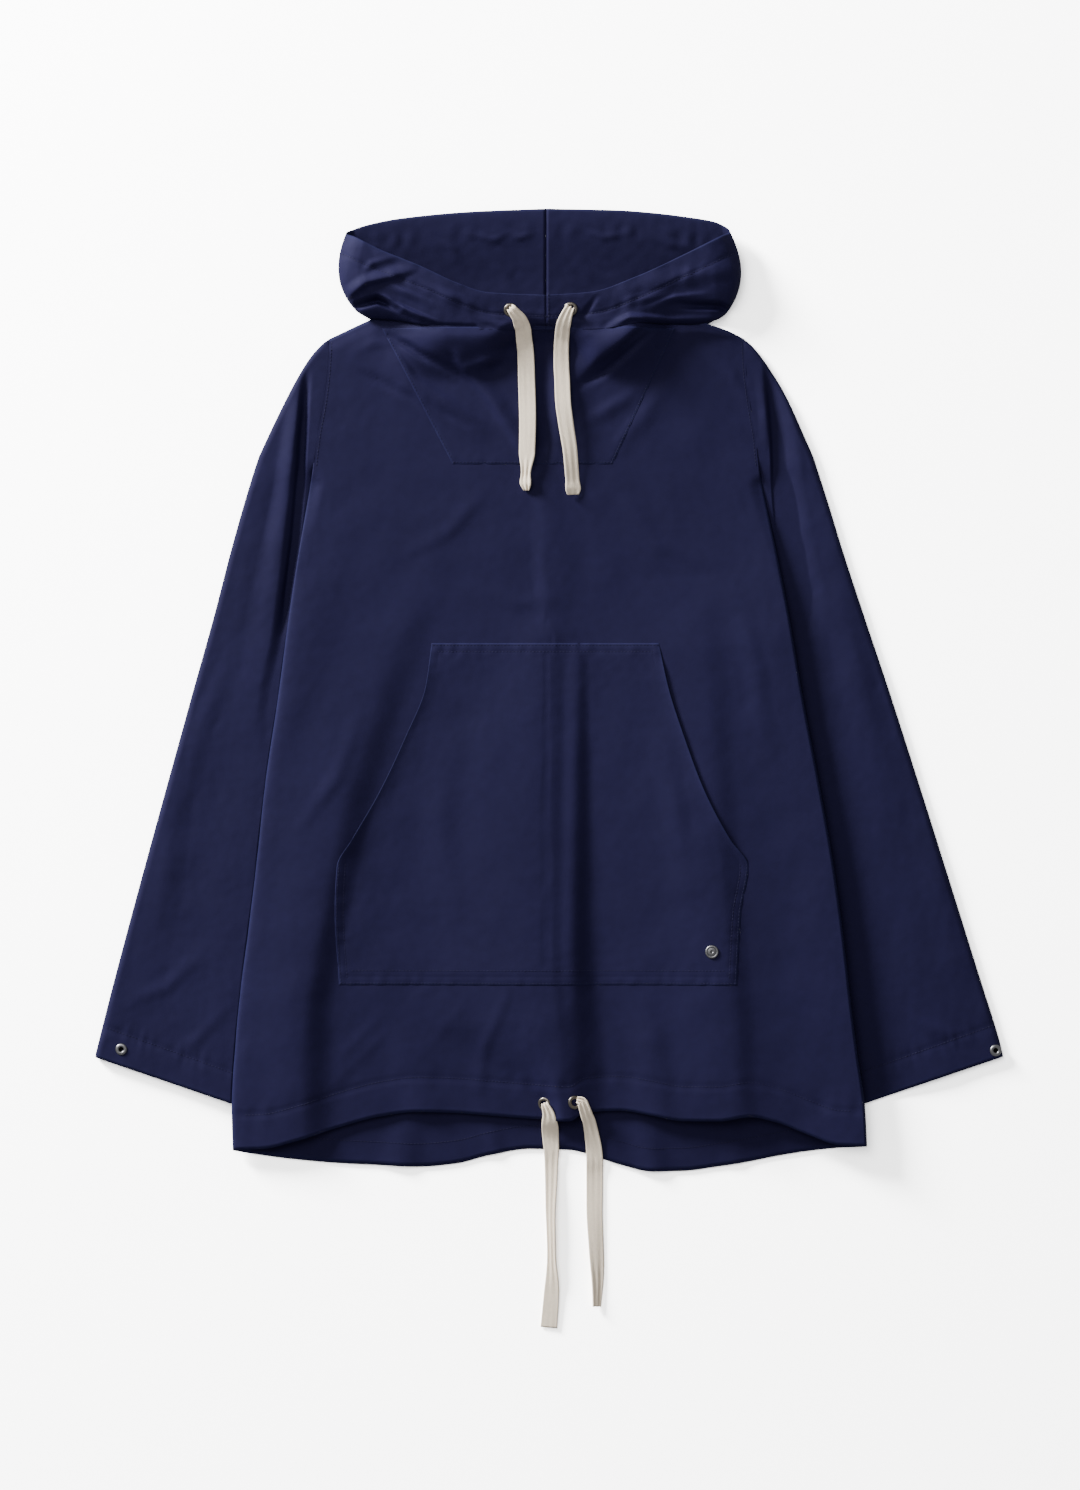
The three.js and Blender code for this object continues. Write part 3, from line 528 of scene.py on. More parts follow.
def body_plan(hem, top, step):
    """Plan points of a body panel: rows from the hem to the top, each from side to side."""
    rows = int((top(0) - hem(0)) / step)
    columns = int(600 / step)
    u = np.linspace(0, 1, columns + 1)[None, :]
    u = u - column_crowding * np.sin(4 * math.pi * u) / (4 * math.pi)
    v = np.linspace(0, 1, rows + 1)[:, None]
    level = hem(0.0) + (top(0.0) - hem(0.0)) * v
    x = body_left(level) + (body_right(level) - body_left(level)) * u
    for _ in range(3):
        y = hem(x) + (top(x) - hem(x)) * v
        x = body_left(y) + (body_right(y) - body_left(y)) * u
    return x, hem(x) + (top(x) - hem(x)) * v


def shell_under(x, y, z, thickness):
    outer = np.stack([x, y, z], axis=2)
    inner = np.stack([x, y, z - thickness], axis=2)
    uv = np.stack([x, y], axis=2) * MM
    return outer, inner, uv


def build_weave_group():
    """Plain weave of a light cotton: warp and weft threads as crossed waves on the UV map in metres."""
    group = new_group(
        "plain_weave",
        [("Thread", "NodeSocketFloat", 0.0005)],
        [("Height", "NodeSocketFloat")],
    )
    start = group.nodes.new("NodeGroupInput")
    end = group.nodes.new("NodeGroupOutput")
    uv = group.nodes.new("ShaderNodeUVMap")
    uv.uv_map = "cloth"
    parts = group.nodes.new("ShaderNodeSeparateXYZ")
    link(group, uv, "UV", parts, "Vector")
    waves = []
    for axis in ("X", "Y"):
        turns = math_node(group, "DIVIDE", parts.outputs[axis], start.outputs["Thread"])
        waves.append(math_node(group, "SINE", math_node(group, "MULTIPLY", turns, 2 * math.pi)))
    crossed = math_node(group, "MULTIPLY", waves[0], waves[1])
    height = math_node(group, "MULTIPLY_ADD", crossed, 0.5)
    height.node.inputs[2].default_value = 0.5
    group.links.new(height, end.inputs["Height"])
    return group


plain_weave = build_weave_group()


def make_cotton(name, colour, edge_colour):
    """Navy cotton: washed tone, worn paler edges from the attribute wear, crumple and weave bumps."""
    material, tree, surface = new_material(name)
    tone = add_tone(tree, colour, 9.0, 0.22)
    wear = tree.nodes.new("ShaderNodeAttribute")
    wear.attribute_name = "wear"
    patches = tree.nodes.new("ShaderNodeTexNoise")
    patches.inputs["Scale"].default_value = 260.0
    place = tree.nodes.new("ShaderNodeTexCoord")
    link(tree, place, "Object", patches, "Vector")
    worn = math_node(tree, "MULTIPLY", wear.outputs["Fac"], patches.outputs["Fac"])
    blend = add_colour_mix(tree, edge_colour)
    tree.links.new(math_node(tree, "MULTIPLY", worn, 0.9, clamp=True), blend.inputs["Factor"])
    link(tree, tone, "Color", blend, "A")
    tree.links.new(blend.outputs["Result"], surface.inputs["Base Color"])
    weave = tree.nodes.new("ShaderNodeGroup")
    weave.node_tree = plain_weave
    weave_bump = add_bump(tree, 0.25, 0.0001)
    link(tree, weave, "Height", weave_bump, "Height")
    crumple = tree.nodes.new("ShaderNodeTexNoise")
    set_inputs(crumple, {"Scale": 55.0, "Detail": 4.0})
    link(tree, place, "Object", crumple, "Vector")
    crumple_bump = add_bump(tree, 0.22, 0.0012)
    link(tree, crumple, "Fac", crumple_bump, "Height")
    link(tree, weave_bump, "Normal", crumple_bump, "Normal")
    link(tree, crumple_bump, "Normal", surface, "Normal")
    set_inputs(surface, {
        "Roughness": 0.7, "Specular IOR Level": 0.1, "Sheen Weight": 0.012, "Sheen Roughness": 0.4,
        "Sheen Tint": (0.5, 0.55, 0.9, 1),
    })
    return material


navy = (0.0091, 0.0078, 0.036)
navy_edge = (0.015, 0.0165, 0.064)
cotton = make_cotton("navy_cotton", navy, navy_edge)


def set_wear(mesh, values):
    """Stores how worn each point is, the same on both sides of the shell."""
    layer = mesh.attributes.new("wear", "FLOAT", "POINT")
    both = np.concatenate([np.ravel(values), np.ravel(values)])
    layer.data.foreach_set("value", both.astype(np.float32))


def make_back():
    x, y = body_plan(back_hem, back_top, grid_step * 1.3)
    outer, inner, uv = shell_under(x, y, back_height(x, y), cloth_thickness)
    mesh = grid_mesh("back_panel", outer, inner, False, uv)
    set_wear(mesh, np.exp(-(y - back_hem(x)) / 1.5))
    piece = place_piece("back_panel", mesh, cotton, "cloth", "back")


make_back()

# Front panel
# One piece of the same cotton, lying on the back, with a drawn fold at its centre
# and a casing at its hem. It is sewn to the back at the sides and the shoulders.
front_rest = 6.0
# Folds, listed one by one. Paths run up from the hem: left and right are how far a fold reaches
# to its two sides, rises are in mm along its path. A trough has negative rises.
front_folds = [
    {"path": [(14, -412), (12, -388), (9, -355), (5, -310), (1, -262), (-2, -200), (-4, -60), (-4, 44)],
     "rise": [8, 8.6, 9.5, 9.5, 9, 7.6, 5.6, 2.2], "left": [20, 22, 60, 130, 150, 145, 120, 40],
     "right": [40, 42, 46, 46, 46, 46, 44, 36]},
    {"path": [(30, -350), (26, -300), (23, -247), (25, -104), (27, 34)],
     "rise": [0, 1.8, 3.2, 3.2, 1.4], "left": 15, "right": [24, 20, 17, 15, 11]},
    {"path": [(-234, -430), (-236, -380), (-232, -294), (-196, -104), (-150, 38), (-112, 120)],
     "rise": [5, 5.5, 6, 4.5, 2, 0], "left": [60, 62, 60, 70, 50, 30], "right": [30, 30, 26, 30, 30, 24]},
    {"path": [(180, -405), (172, -290), (160, -152), (148, 40), (142, 110)],
     "rise": [2.6, 2.6, 2.2, 1.2, 0], "left": 60, "right": 22},
    {"path": [(174, -405), (166, -290), (152, -152), (140, 40), (134, 110)],
     "rise": [7, 7, 6, 3, 0], "left": 130, "right": [118, 114, 106, 92, 80]},
    {"path": [(-120, -405), (-150, -300)], "rise": [2.4, 0], "left": 24, "right": 30},
    {"path": [(104, -405), (96, -330), (84, -285)], "rise": [2.0, 1.6, 0], "left": 30, "right": 20},
    {"path": [(-3, 210), (-4, 124), (2, 60)], "rise": [0.4, 1.4, 0.8], "left": 40, "right": 16},
    {"path": [(-3, -262), (-3, -130), (-3, 34)], "rise": [-0.5, -0.7, -0.4], "left": 3, "right": 3},
    {"path": [(-147, -313), (-114, -283)], "rise": [0.1, 0.4], "left": 9, "right": 5},
    {"path": [(-199, -351), (-175, -325), (-142, -294)], "rise": [0.1, 0.5, 0.1], "left": 9, "right": 5},
    {"path": [(-123, -351), (-85, -304)], "rise": [0.1, 0.4], "left": 10, "right": 5},
    {"path": [(-209, -380), (-161, -332)], "rise": [0.1, 0.5], "left": 9, "right": 5},
    {"path": [(-66, -380), (-62, -340), (-40, -290)], "rise": [0.4, 1.1, 0.3], "left": 10, "right": 8},
    {"path": [(-60, 190), (-96, 150), (-140, 128)], "rise": [0.2, 0.9, 0.2], "left": 9, "right": 12},
    {"path": [(70, 180), (104, 138), (150, 120)], "rise": [0.2, 0.8, 0.2], "left": 12, "right": 9},
    {"path": [(-70, 100), (-30, 82), (20, 88)], "rise": [0.1, 0.7, 0.1], "left": 12, "right": 12},
    {"path": [(-236, -130), (-200, -80), (-180, -20)], "rise": [0.3, 1.0, 0.2], "left": 12, "right": 10},
    {"path": [(206, -60), (196, 20), (180, 90)], "rise": [0.3, 1.2, 0.2], "left": 16, "right": 14},
    {"path": [(128, -190), (120, -110), (106, -40)], "rise": [0.2, 1.0, 0.2], "left": 18, "right": 14},
    {"path": [(-92, -210), (-104, -120), (-92, -40)], "rise": [0.2, 1.1, 0.2], "left": 26, "right": 20},
]
# Creases around the neck: they run on from the hood into the front.
neck_creases = [
    {"path": [(-152, 336), (-134, 326), (-122, 318), (-85, 300)], "rise": [-1, -4, -4, -1.5],
     "left": 7, "right": 5},
    {"path": [(-156, 330), (-131, 297), (-99, 276), (-52, 246)], "rise": [1.5, 3.4, 3.2, 0],
     "left": 8, "right": 30},
    {"path": [(-83, 304), (-57, 312), (-31, 319)], "rise": [1.5, 4.0, 1.0], "left": 9, "right": 5},
    {"path": [(-86, 312), (-52, 271), (-28, 233), (-9, 209)], "rise": [3.0, 4.0, 2.6, 0],
     "left": 16, "right": 7},
    {"path": [(-179, 302), (-163, 296), (-146, 286), (-133, 279), (-120, 266)],
     "rise": [-0.3, -1.5, -1.7, -1.5, -0.3], "left": 5, "right": 7},
    {"path": [(-114, 274), (-98, 263), (-76, 251)], "rise": [-0.4, -1.2, -0.3], "left": 5, "right": 7},
    {"path": [(96, 356), (64, 327), (44, 313), (28, 300)], "rise": [3.0, 5.0, 4.4, 0.5],
     "left": 6, "right": 22},
    {"path": [(94, 338), (68, 316), (50, 302), (23, 288)], "rise": [-1.5, -4.6, -4.0, -1.0],
     "left": 6, "right": 5},
    {"path": [(84, 284), (57, 268), (33, 257)], "rise": [0.4, 1.8, 0.3], "left": 12, "right": 10},
    {"path": [(116, 300), (90, 262), (60, 226)], "rise": [0.3, 1.4, 0.2], "left": 14, "right": 12},
    {"path": [(-3, 336), (-3, 295), (-4, 238), (-4, 214)], "rise": [-2.0, -3.6, -3.0, 0],
     "left": 13, "right": 13},
    {"path": [(-5, 350), (-5, 318), (-5, 290), (-5, 262), (-4, 232)], "rise": [0, 1.6, 3.0, 3.0, 0.4],
     "left": [100, 84, 62, 44, 24], "right": [96, 80, 58, 40, 22]},
    {"path": [(150, 318), (174, 300), (192, 268)], "rise": [0.3, 1.0, 0.2], "left": 8, "right": 10},
    {"path": [(-186, 322), (-168, 330), (-140, 332)], "rise": [0.2, 1.0, 0.2], "left": 7, "right": 8},
]
hem_casing = 33.0
neck_slump = 18.0
left_puff = 4.0
right_puff = 7.0
left_roll = 15.0
right_roll = 2.0


def front_inset(x, y):
    """Distance from the nearest edge. The armhole seams above the underarm don't count."""
    at_armhole = 30 * smoothstep(y, 196, 212)
    from_side = np.minimum(x - body_left(y), body_right(y) - x) + at_armhole
    return np.minimum.reduce([from_side, front_top(x) - y, y - front_hem(x)])


def casing_puckers(x, y):
    """Short creases that the stitched and drawn casing makes along the hem."""
    off = y - front_hem(x) - hem_casing
    wave = np.sin(x / 4.1 + 1.7 * np.sin(x / 23.0)) * np.sin(x / 13.0 + 0.6)
    channel = np.exp(-(off / 2.2) ** 2)
    return 0.35 * wave * np.exp(-(off / 10.0) ** 2) - 0.6 * channel


def round_edge(inset, reach):
    """Quarter-round profile of a rolled edge: 0 at the edge, 1 beyond the reach."""
    t = np.clip(inset / reach, 0, 1)
    return np.sqrt(1 - (1 - t) ** 2)


def slump_height(x, y):
    """The front climbs to the neck seam under the hood, later at the middle, where the tapes lie."""
    off_middle = 1 - np.exp(-(((x + 6) / 43.0) ** 4))
    foot = 328 - 36 * off_middle
    up = smoothstep((y - foot) / (28 + 17 * off_middle), 0, 1)
    side = smoothstep(x, -160, -96) * smoothstep(-x, -124, -70)
    return neck_slump * up * side


def front_height(x, y):
    """The front's upper face: it lies on the back, puffed at its sides, with its folds on top."""
    lowest = side_rise(x, y) + 2 * wall + seam_gap
    from_left = x - body_left(y)
    from_right = body_right(y) - x
    below_arm = smoothstep(-y, -205, -40)
    puff = left_puff * np.exp(-(from_left / 70.0) ** 2)
    puff = puff + right_puff * (1 + 0.5 * smoothstep(-y, 0, 400)) * np.exp(-(from_right / 56.0) ** 2)
    full = np.maximum(lowest, front_rest + puff * below_arm)
    extra = (full - lowest) * smoothstep(front_inset(x, y) + 14 * below_arm, 0, 14)
    extra = extra + folds_height(front_folds, x, y) + folds_height(neck_creases, x, y) + slump_height(x, y)
    extra = extra + casing_puckers(x, y) + rumple(x, y, 30, 0.5, 7.7) + rumple(x, y, 8, 0.14, 2.3)
    rounded = np.minimum(round_edge(from_left, left_roll), round_edge(from_right, right_roll))
    on_edge = 1 - (1 - rounded) * smoothstep(-y, -210, -190)
    return lowest + np.maximum(-1.5, extra) * on_edge - 0.8 * (1 - on_edge)


def make_front():
    x, y = body_plan(front_hem, front_top, grid_step)
    outer, inner, uv = shell_under(x, y, front_height(x, y), cloth_thickness)
    mesh = grid_mesh("front_panel", outer, inner, False, uv)
    inset = front_inset(x, y)
    set_wear(mesh, np.exp(-inset / 2.0))
    piece = place_piece("front_panel", mesh, cotton, "cloth", "front")


make_front()

# Neck inset
# A trapezoid of the same cotton topstitched on the front, below the hood.
inset_outline = [
    {"y": 215, "left": -92, "right": 60},
    {"y": 344, "left": -159.1, "right": 119.8},
]
patch_step = 2.6
edge_crowding = 0.6


def patch_plan(outline, step):
    """Plan points of a patch: rows from its low edge to its high edge, closer together at the edges."""
    left = column_curve(outline, "y", "left")
    right = column_curve(outline, "y", "right")
    low, high = outline[0]["y"], outline[-1]["y"]
    widest = max(row["right"] - row["left"] for row in outline)
    v = np.linspace(0, 1, int((high - low) / step) + 1)[:, None]
    u = np.linspace(0, 1, int(widest / step) + 1)[None, :]
    v = v - edge_crowding * np.sin(2 * math.pi * v) / (2 * math.pi)
    u = u - edge_crowding * np.sin(2 * math.pi * u) / (2 * math.pi)
    y = low + (high - low) * v + 0 * u
    return left(y) + (right(y) - left(y)) * u, y


def patch_height(patch, x, y):
    """Upper face of a patch: sewn down at its edges, puckered beside its rows of stitches."""
    outline = patch["outline"]
    from_left = x - column_curve(outline, "y", "left")(y)
    from_right = column_curve(outline, "y", "right")(y) - x
    from_low, from_high = y - outline[0]["y"], outline[-1]["y"] - y
    if patch["runs_under_hood"]:
        from_high = from_high + 30
    from_side = np.minimum(from_left, from_right)
    across = np.minimum(from_low, from_high)
    inset = np.minimum(from_side, across)
    beside = smoothstep(across - from_side, -3, 3)
    open_part = 0 * inset
    if "opening" in patch:
        opening = patch["opening"]
        open_part = smoothstep(y, opening["low"] - 6, opening["low"] + 12)
        open_part = open_part * smoothstep(-y, -opening["high"], 34 - opening["high"]) * beside
    lip = smoothstep(inset, -0.6, 2.2)
    height = front_height(x, y) + patch["lift"] + patch["thickness"] * (lip + (1 - lip) * open_part)
    for row in patch["rows"]:
        groove = np.exp(-((inset - row) / 1.2) ** 2)
        pucker = beside * np.sin(y / 2.3 + 1.5 * np.sin(y / 19.0)) * np.sin(y / 11.0 + 0.8)
        pucker = pucker + (1 - beside) * np.sin(x / 2.3 + 1.5 * np.sin(x / 19.0)) * np.sin(x / 11.0 + 0.8)
        sewn = 1 - open_part
        height = height + sewn * (0.14 * pucker * np.exp(-((inset - row) / 5.0) ** 2) - 0.14 * groove)
    if "opening" in patch:
        height = height + opening["gape"] * open_part * np.exp(-from_side / opening["reach"])
    return height


def make_patch(name, patch, node):
    outline = patch["outline"]
    x, y = patch_plan(outline, patch_step)
    outer, inner, uv = shell_under(x, y, patch_height(patch, x, y), patch["thickness"])
    mesh = grid_mesh(name, outer, inner, False, uv)
    left = column_curve(outline, "y", "left")
    right = column_curve(outline, "y", "right")
    inset = np.minimum.reduce([x - left(y), right(y) - x, outline[-1]["y"] - y, y - outline[0]["y"]])
    set_wear(mesh, np.exp(-inset / 1.6))
    piece = place_piece(name, mesh, cotton, "cloth", node)


def build_stitch_tree():
    """Geometry Nodes: short rounded stitches laid end to end along a drawn line, with small gaps."""
    tree = bpy.data.node_groups.new("stitch_row", "GeometryNodeTree")
    tree.interface.new_socket("Line", in_out="INPUT", socket_type="NodeSocketGeometry")
    for title, value in (("Pitch", 0.0032), ("Length", 0.0025), ("Width", 0.00055)):
        socket = tree.interface.new_socket(title, in_out="INPUT", socket_type="NodeSocketFloat")
        socket.default_value = value
    tree.interface.new_socket("Thread", in_out="INPUT", socket_type="NodeSocketMaterial")
    tree.interface.new_socket("Stitches", in_out="OUTPUT", socket_type="NodeSocketGeometry")
    start = tree.nodes.new("NodeGroupInput")
    end = tree.nodes.new("NodeGroupOutput")
    curve = tree.nodes.new("GeometryNodeMeshToCurve")
    spaced = tree.nodes.new("GeometryNodeResampleCurve")
    spaced.mode = "LENGTH"
    heading = tree.nodes.new("GeometryNodeInputTangent")
    turn = tree.nodes.new("FunctionNodeAlignRotationToVector")
    turn.axis = "X"
    bead = tree.nodes.new("GeometryNodeMeshUVSphere")
    set_inputs(bead, {"Segments": 8, "Rings": 4, "Radius": 0.5})
    size = tree.nodes.new("ShaderNodeCombineXYZ")
    shape = tree.nodes.new("GeometryNodeTransform")
    uneven = tree.nodes.new("FunctionNodeRandomValue")
    uneven.data_type = "FLOAT_VECTOR"
    set_inputs(uneven, {"Min": (0.82, 0.8, 0.8), "Max": (1.1, 1.15, 1.15), "Seed": 5})
    laid = tree.nodes.new("GeometryNodeInstanceOnPoints")
    solid = tree.nodes.new("GeometryNodeRealizeInstances")
    thread = tree.nodes.new("GeometryNodeSetMaterial")
    link(tree, start, "Line", curve, "Mesh")
    link(tree, curve, "Curve", spaced, "Curve")
    link(tree, start, "Pitch", spaced, "Length")
    link(tree, heading, "Tangent", turn, "Vector")
    link(tree, start, "Length", size, "X")
    link(tree, start, "Width", size, "Y")
    link(tree, start, "Width", size, "Z")
    link(tree, bead, "Mesh", shape, "Geometry")
    link(tree, size, "Vector", shape, "Scale")
    link(tree, spaced, "Curve", laid, "Points")
    link(tree, shape, "Geometry", laid, "Instance")
    link(tree, turn, "Rotation", laid, "Rotation")
    link(tree, uneven, "Value", laid, "Scale")
    link(tree, laid, "Instances", solid, "Geometry")
    link(tree, solid, "Geometry", thread, "Geometry")
    link(tree, start, "Thread", thread, "Material")
    link(tree, thread, "Geometry", end, "Stitches")
    return tree


def make_thread(name, colour):
    """Cotton thread a little paler than the cloth."""
    material, tree, surface = new_material(name)
    tone = add_tone(tree, colour, 60.0, 0.5)
    link(tree, tone, "Color", surface, "Base Color")
    set_inputs(surface, {"Roughness": 0.6, "Specular IOR Level": 0.2})
    return material


stitch_tree = build_stitch_tree()
navy_thread = make_thread("navy_thread", (0.0098, 0.0088, 0.0375))


def sew(name, lines):
    """Stitches along lines of points in mm, as one finished mesh."""
    points = []
    edges = []
    for line in lines:
        first = len(points)
        points.extend(tuple(value * MM for value in point) for point in line)
        edges.extend((i, i + 1) for i in range(first, len(points) - 1))
    drawn = bpy.data.meshes.new(name + "_line")
    drawn.from_pydata(points, edges, [])
    holder = bpy.data.objects.new(name + "_line", drawn)
    bpy.context.scene.collection.objects.link(holder)
    modifier = holder.modifiers.new("stitches", "NODES")
    modifier.node_group = stitch_tree
    for item in stitch_tree.interface.items_tree:
        if item.item_type == "SOCKET" and item.in_out == "INPUT" and item.name == "Thread":
            modifier[item.identifier] = navy_thread
    graph = bpy.context.evaluated_depsgraph_get()
    mesh = bpy.data.meshes.new_from_object(holder.evaluated_get(graph))
    mesh.name = name
    bpy.data.objects.remove(holder)
    mesh.materials.clear()
    place_piece(name, mesh, navy_thread, "cloth")


def patch_line(patch, row, sides, high=None):
    """Points of a row of stitches at a distance inside a patch's edge, on its surface."""
    outline = patch["outline"]
    left = column_curve(outline, "y", "left")
    right = column_curve(outline, "y", "right")
    bottom, top = outline[0]["y"] + row, outline[-1]["y"] - row
    if sides in ("bottom", "top"):
        level = bottom if sides == "bottom" else top
        x = np.linspace(left(level) + row, right(level) - row, 160)
        y = np.full(160, level)
    else:
        y = np.linspace(bottom, top if high is None else high, 160)
        x = left(y) + row if sides == "left" else right(y) - row
    return np.stack([x, y, patch_height(patch, x, y) + 0.05], axis=1)


inset_patch = {"outline": inset_outline, "lift": 0.05, "thickness": 0.3, "rows": [2.0], "area": 0.0297,
               "runs_under_hood": True}
make_patch("neck_inset_panel", inset_patch, "neck_inset")
sew("neck_inset_stitches", [patch_line(inset_patch, 2.0, side) for side in ("left", "bottom", "right")])

# Kangaroo pocket
# A patch of the same cotton with curved hand openings, stitched on the front with two rows.
pocket_outline = [
    {"y": -280, "left": -200, "right": 178}, {"y": -211, "left": -204, "right": 182},
    {"y": -167, "left": -202, "right": 189}, {"y": -142, "left": -188, "right": 172},
    {"y": -97, "left": -162, "right": 148}, {"y": -44, "left": -137, "right": 128},
    {"y": 3, "left": -118, "right": 113}, {"y": 45, "left": -112, "right": 104},
]
pocket_patch = {
    "outline": pocket_outline, "lift": 0.1, "thickness": 0.35, "rows": [2.0, 8.0], "area": 0.105,
    "runs_under_hood": False, "opening": {"low": -160.0, "high": 45.0, "gape": 1.7, "reach": 7.0},
}
make_patch("pocket_panel", pocket_patch, "pocket")
pocket_lines = []
for row in pocket_patch["rows"]:
    pocket_lines.append(patch_line(pocket_patch, row, "top"))
    pocket_lines += [patch_line(pocket_patch, row, side, high=-166) for side in ("left", "right")]
for row in (2.0, 14.0):
    pocket_lines.append(patch_line(pocket_patch, row, "bottom"))
sew("pocket_stitches", pocket_lines)

# Body stitches
# Rows of navy thread that hold the hem casing of the front and the narrow hem of the back.
# Each row follows its hem at a fixed distance, on top of the cloth.


def body_line(hem, height, above, low_x, high_x):
    x = np.linspace(low_x, high_x, 260)
    y = hem(x) + above
    return np.stack([x, y, height(x, y) + 0.1], axis=1)


sew("hem_stitches", [
    body_line(front_hem, front_height, hem_casing, -288, 284),
    body_line(back_hem, back_height, 22.0, -262, 262),
])

# Sleeves
# Tapering tubes of the same cotton beside the body, their inner edges tucked under its sides.
# Each has a fold that falls from the shoulder and a stitched cuff hem.
sleeve_pinch = 4.1
sleeve_tuck = 8.0
underarm_overlap = 1.0
cuff_lean = 0.34
edge_roll = 6.0
underarm_y = 211.0
shoulder_y = 334.0
cuff_inner_y = -396.0
left_outer = [
    {"y": -346, "x": -432}, {"y": -275, "x": -414}, {"y": -7, "x": -341}, {"y": 68, "x": -320},
    {"y": 141, "x": -301}, {"y": 206, "x": -282}, {"y": 250, "x": -267}, {"y": 279, "x": -257},
    {"y": 296, "x": -250}, {"y": 314, "x": -238}, {"y": 326, "x": -226}, {"y": 334.3, "x": -210.3},
]
right_outer = [
    {"y": -349.5, "x": 432}, {"y": -333, "x": 428}, {"y": -275, "x": 410}, {"y": -9, "x": 326},
    {"y": 75, "x": 298}, {"y": 133, "x": 279}, {"y": 182, "x": 264}, {"y": 235, "x": 247},
    {"y": 262, "x": 239}, {"y": 286, "x": 228}, {"y": 307, "x": 216}, {"y": 323, "x": 201},
    {"y": 334.3, "x": 185.8},
]
left_sleeve_folds = [
    {"path": [(-235, 306), (-239, 268), (-243.5, 238), (-248, 190), (-254, 143), (-260, 90), (-266, 48),
              (-277, 0), (-284, -60)],
     "rise": [0, 2.4, 3.6, 4.2, 4.5, 4.2, 3, 1.5, 0], "left": [8, 8, 8, 10, 12, 12, 11, 12, 14],
     "right": [14, 14, 14, 16, 20, 26, 30, 34, 34]},
    {"path": [(-230, 308), (-233, 276), (-235, 238), (-237, 200), (-242, 143), (-250, 90), (-256, 48)],
     "rise": [0, -4.2, -6.5, -6.8, -6.0, -4.0, 0], "left": 6, "right": 6},
    {"path": [(-350, 20), (-362, -150), (-385, -300)], "rise": [0, 1.2, 0], "left": 20, "right": 20},
    {"path": [(-296, 40), (-330, -30), (-352, -120)], "rise": [0.2, 1.0, 0.2], "left": 14, "right": 14},
    {"path": [(-330, -250), (-364, -282), (-396, -296)], "rise": [0.2, 1.0, 0.2], "left": 10, "right": 12},
    {"path": [(-306, -300), (-336, -332), (-362, -352)], "rise": [0.1, 0.8, 0.2], "left": 10, "right": 10},
]
right_sleeve_folds = [
    {"path": [(205, 312), (208, 290), (211, 262), (213, 237), (215, 190), (219, 143), (228, 90), (233, 48)],
     "rise": [0, -3.2, -5.0, -6, -6.2, -6, -4.2, 0], "left": [14, 17, 21, 25, 29, 32, 36, 36], "right": 4},
    {"path": [(200, 300), (205, 262), (206, 232)], "rise": [0.3, 1.2, 0.3], "left": 4, "right": 8},
    {"path": [(262, 160), (296, 10), (334, -120)], "rise": [0, 1.4, 0], "left": 18, "right": 24},
    {"path": [(352, -80), (372, -190), (396, -310)], "rise": [0, 1.2, 0], "left": 18, "right": 22},
    {"path": [(300, 90), (322, 20), (334, -60)], "rise": [0.2, 0.8, 0.1], "left": 12, "right": 14},
    {"path": [(330, -300), (364, -322), (396, -330)], "rise": [0.1, 0.9, 0.2], "left": 10, "right": 10},
]
# How high each sleeve lies right beside the body: the left one is pushed up against it.
left_beside = [
    {"y": -400, "z": 7.8}, {"y": -120, "z": 7.8}, {"y": 10, "z": 6.4}, {"y": 70, "z": 4.0},
    {"y": 200, "z": 3.5},
]
right_beside = [{"y": -400, "z": 2.2}, {"y": 100, "z": 2.4}, {"y": 200, "z": 3.0}]
sleeve_thinnest = 1.9
# The row of stitches of a cuff, as a share of the sleeve's run from the underarm, which is in mm.
cuff_stitch_ring = 0.959
sleeve_run = 684
sleeve_grids = {}


def offset_grid(grid, distance, closed_across):
    """The points of a grid moved along the grid's own normals."""
    along_rows = np.gradient(grid, axis=0)
    if closed_across:
        along_columns = (np.roll(grid, -1, axis=1) - np.roll(grid, 1, axis=1)) / 2
    else:
        along_columns = np.gradient(grid, axis=1)
    normal = np.cross(along_columns, along_rows)
    normal /= np.maximum(np.linalg.norm(normal, axis=2)[:, :, None], 1e-9)
    return grid + normal * distance


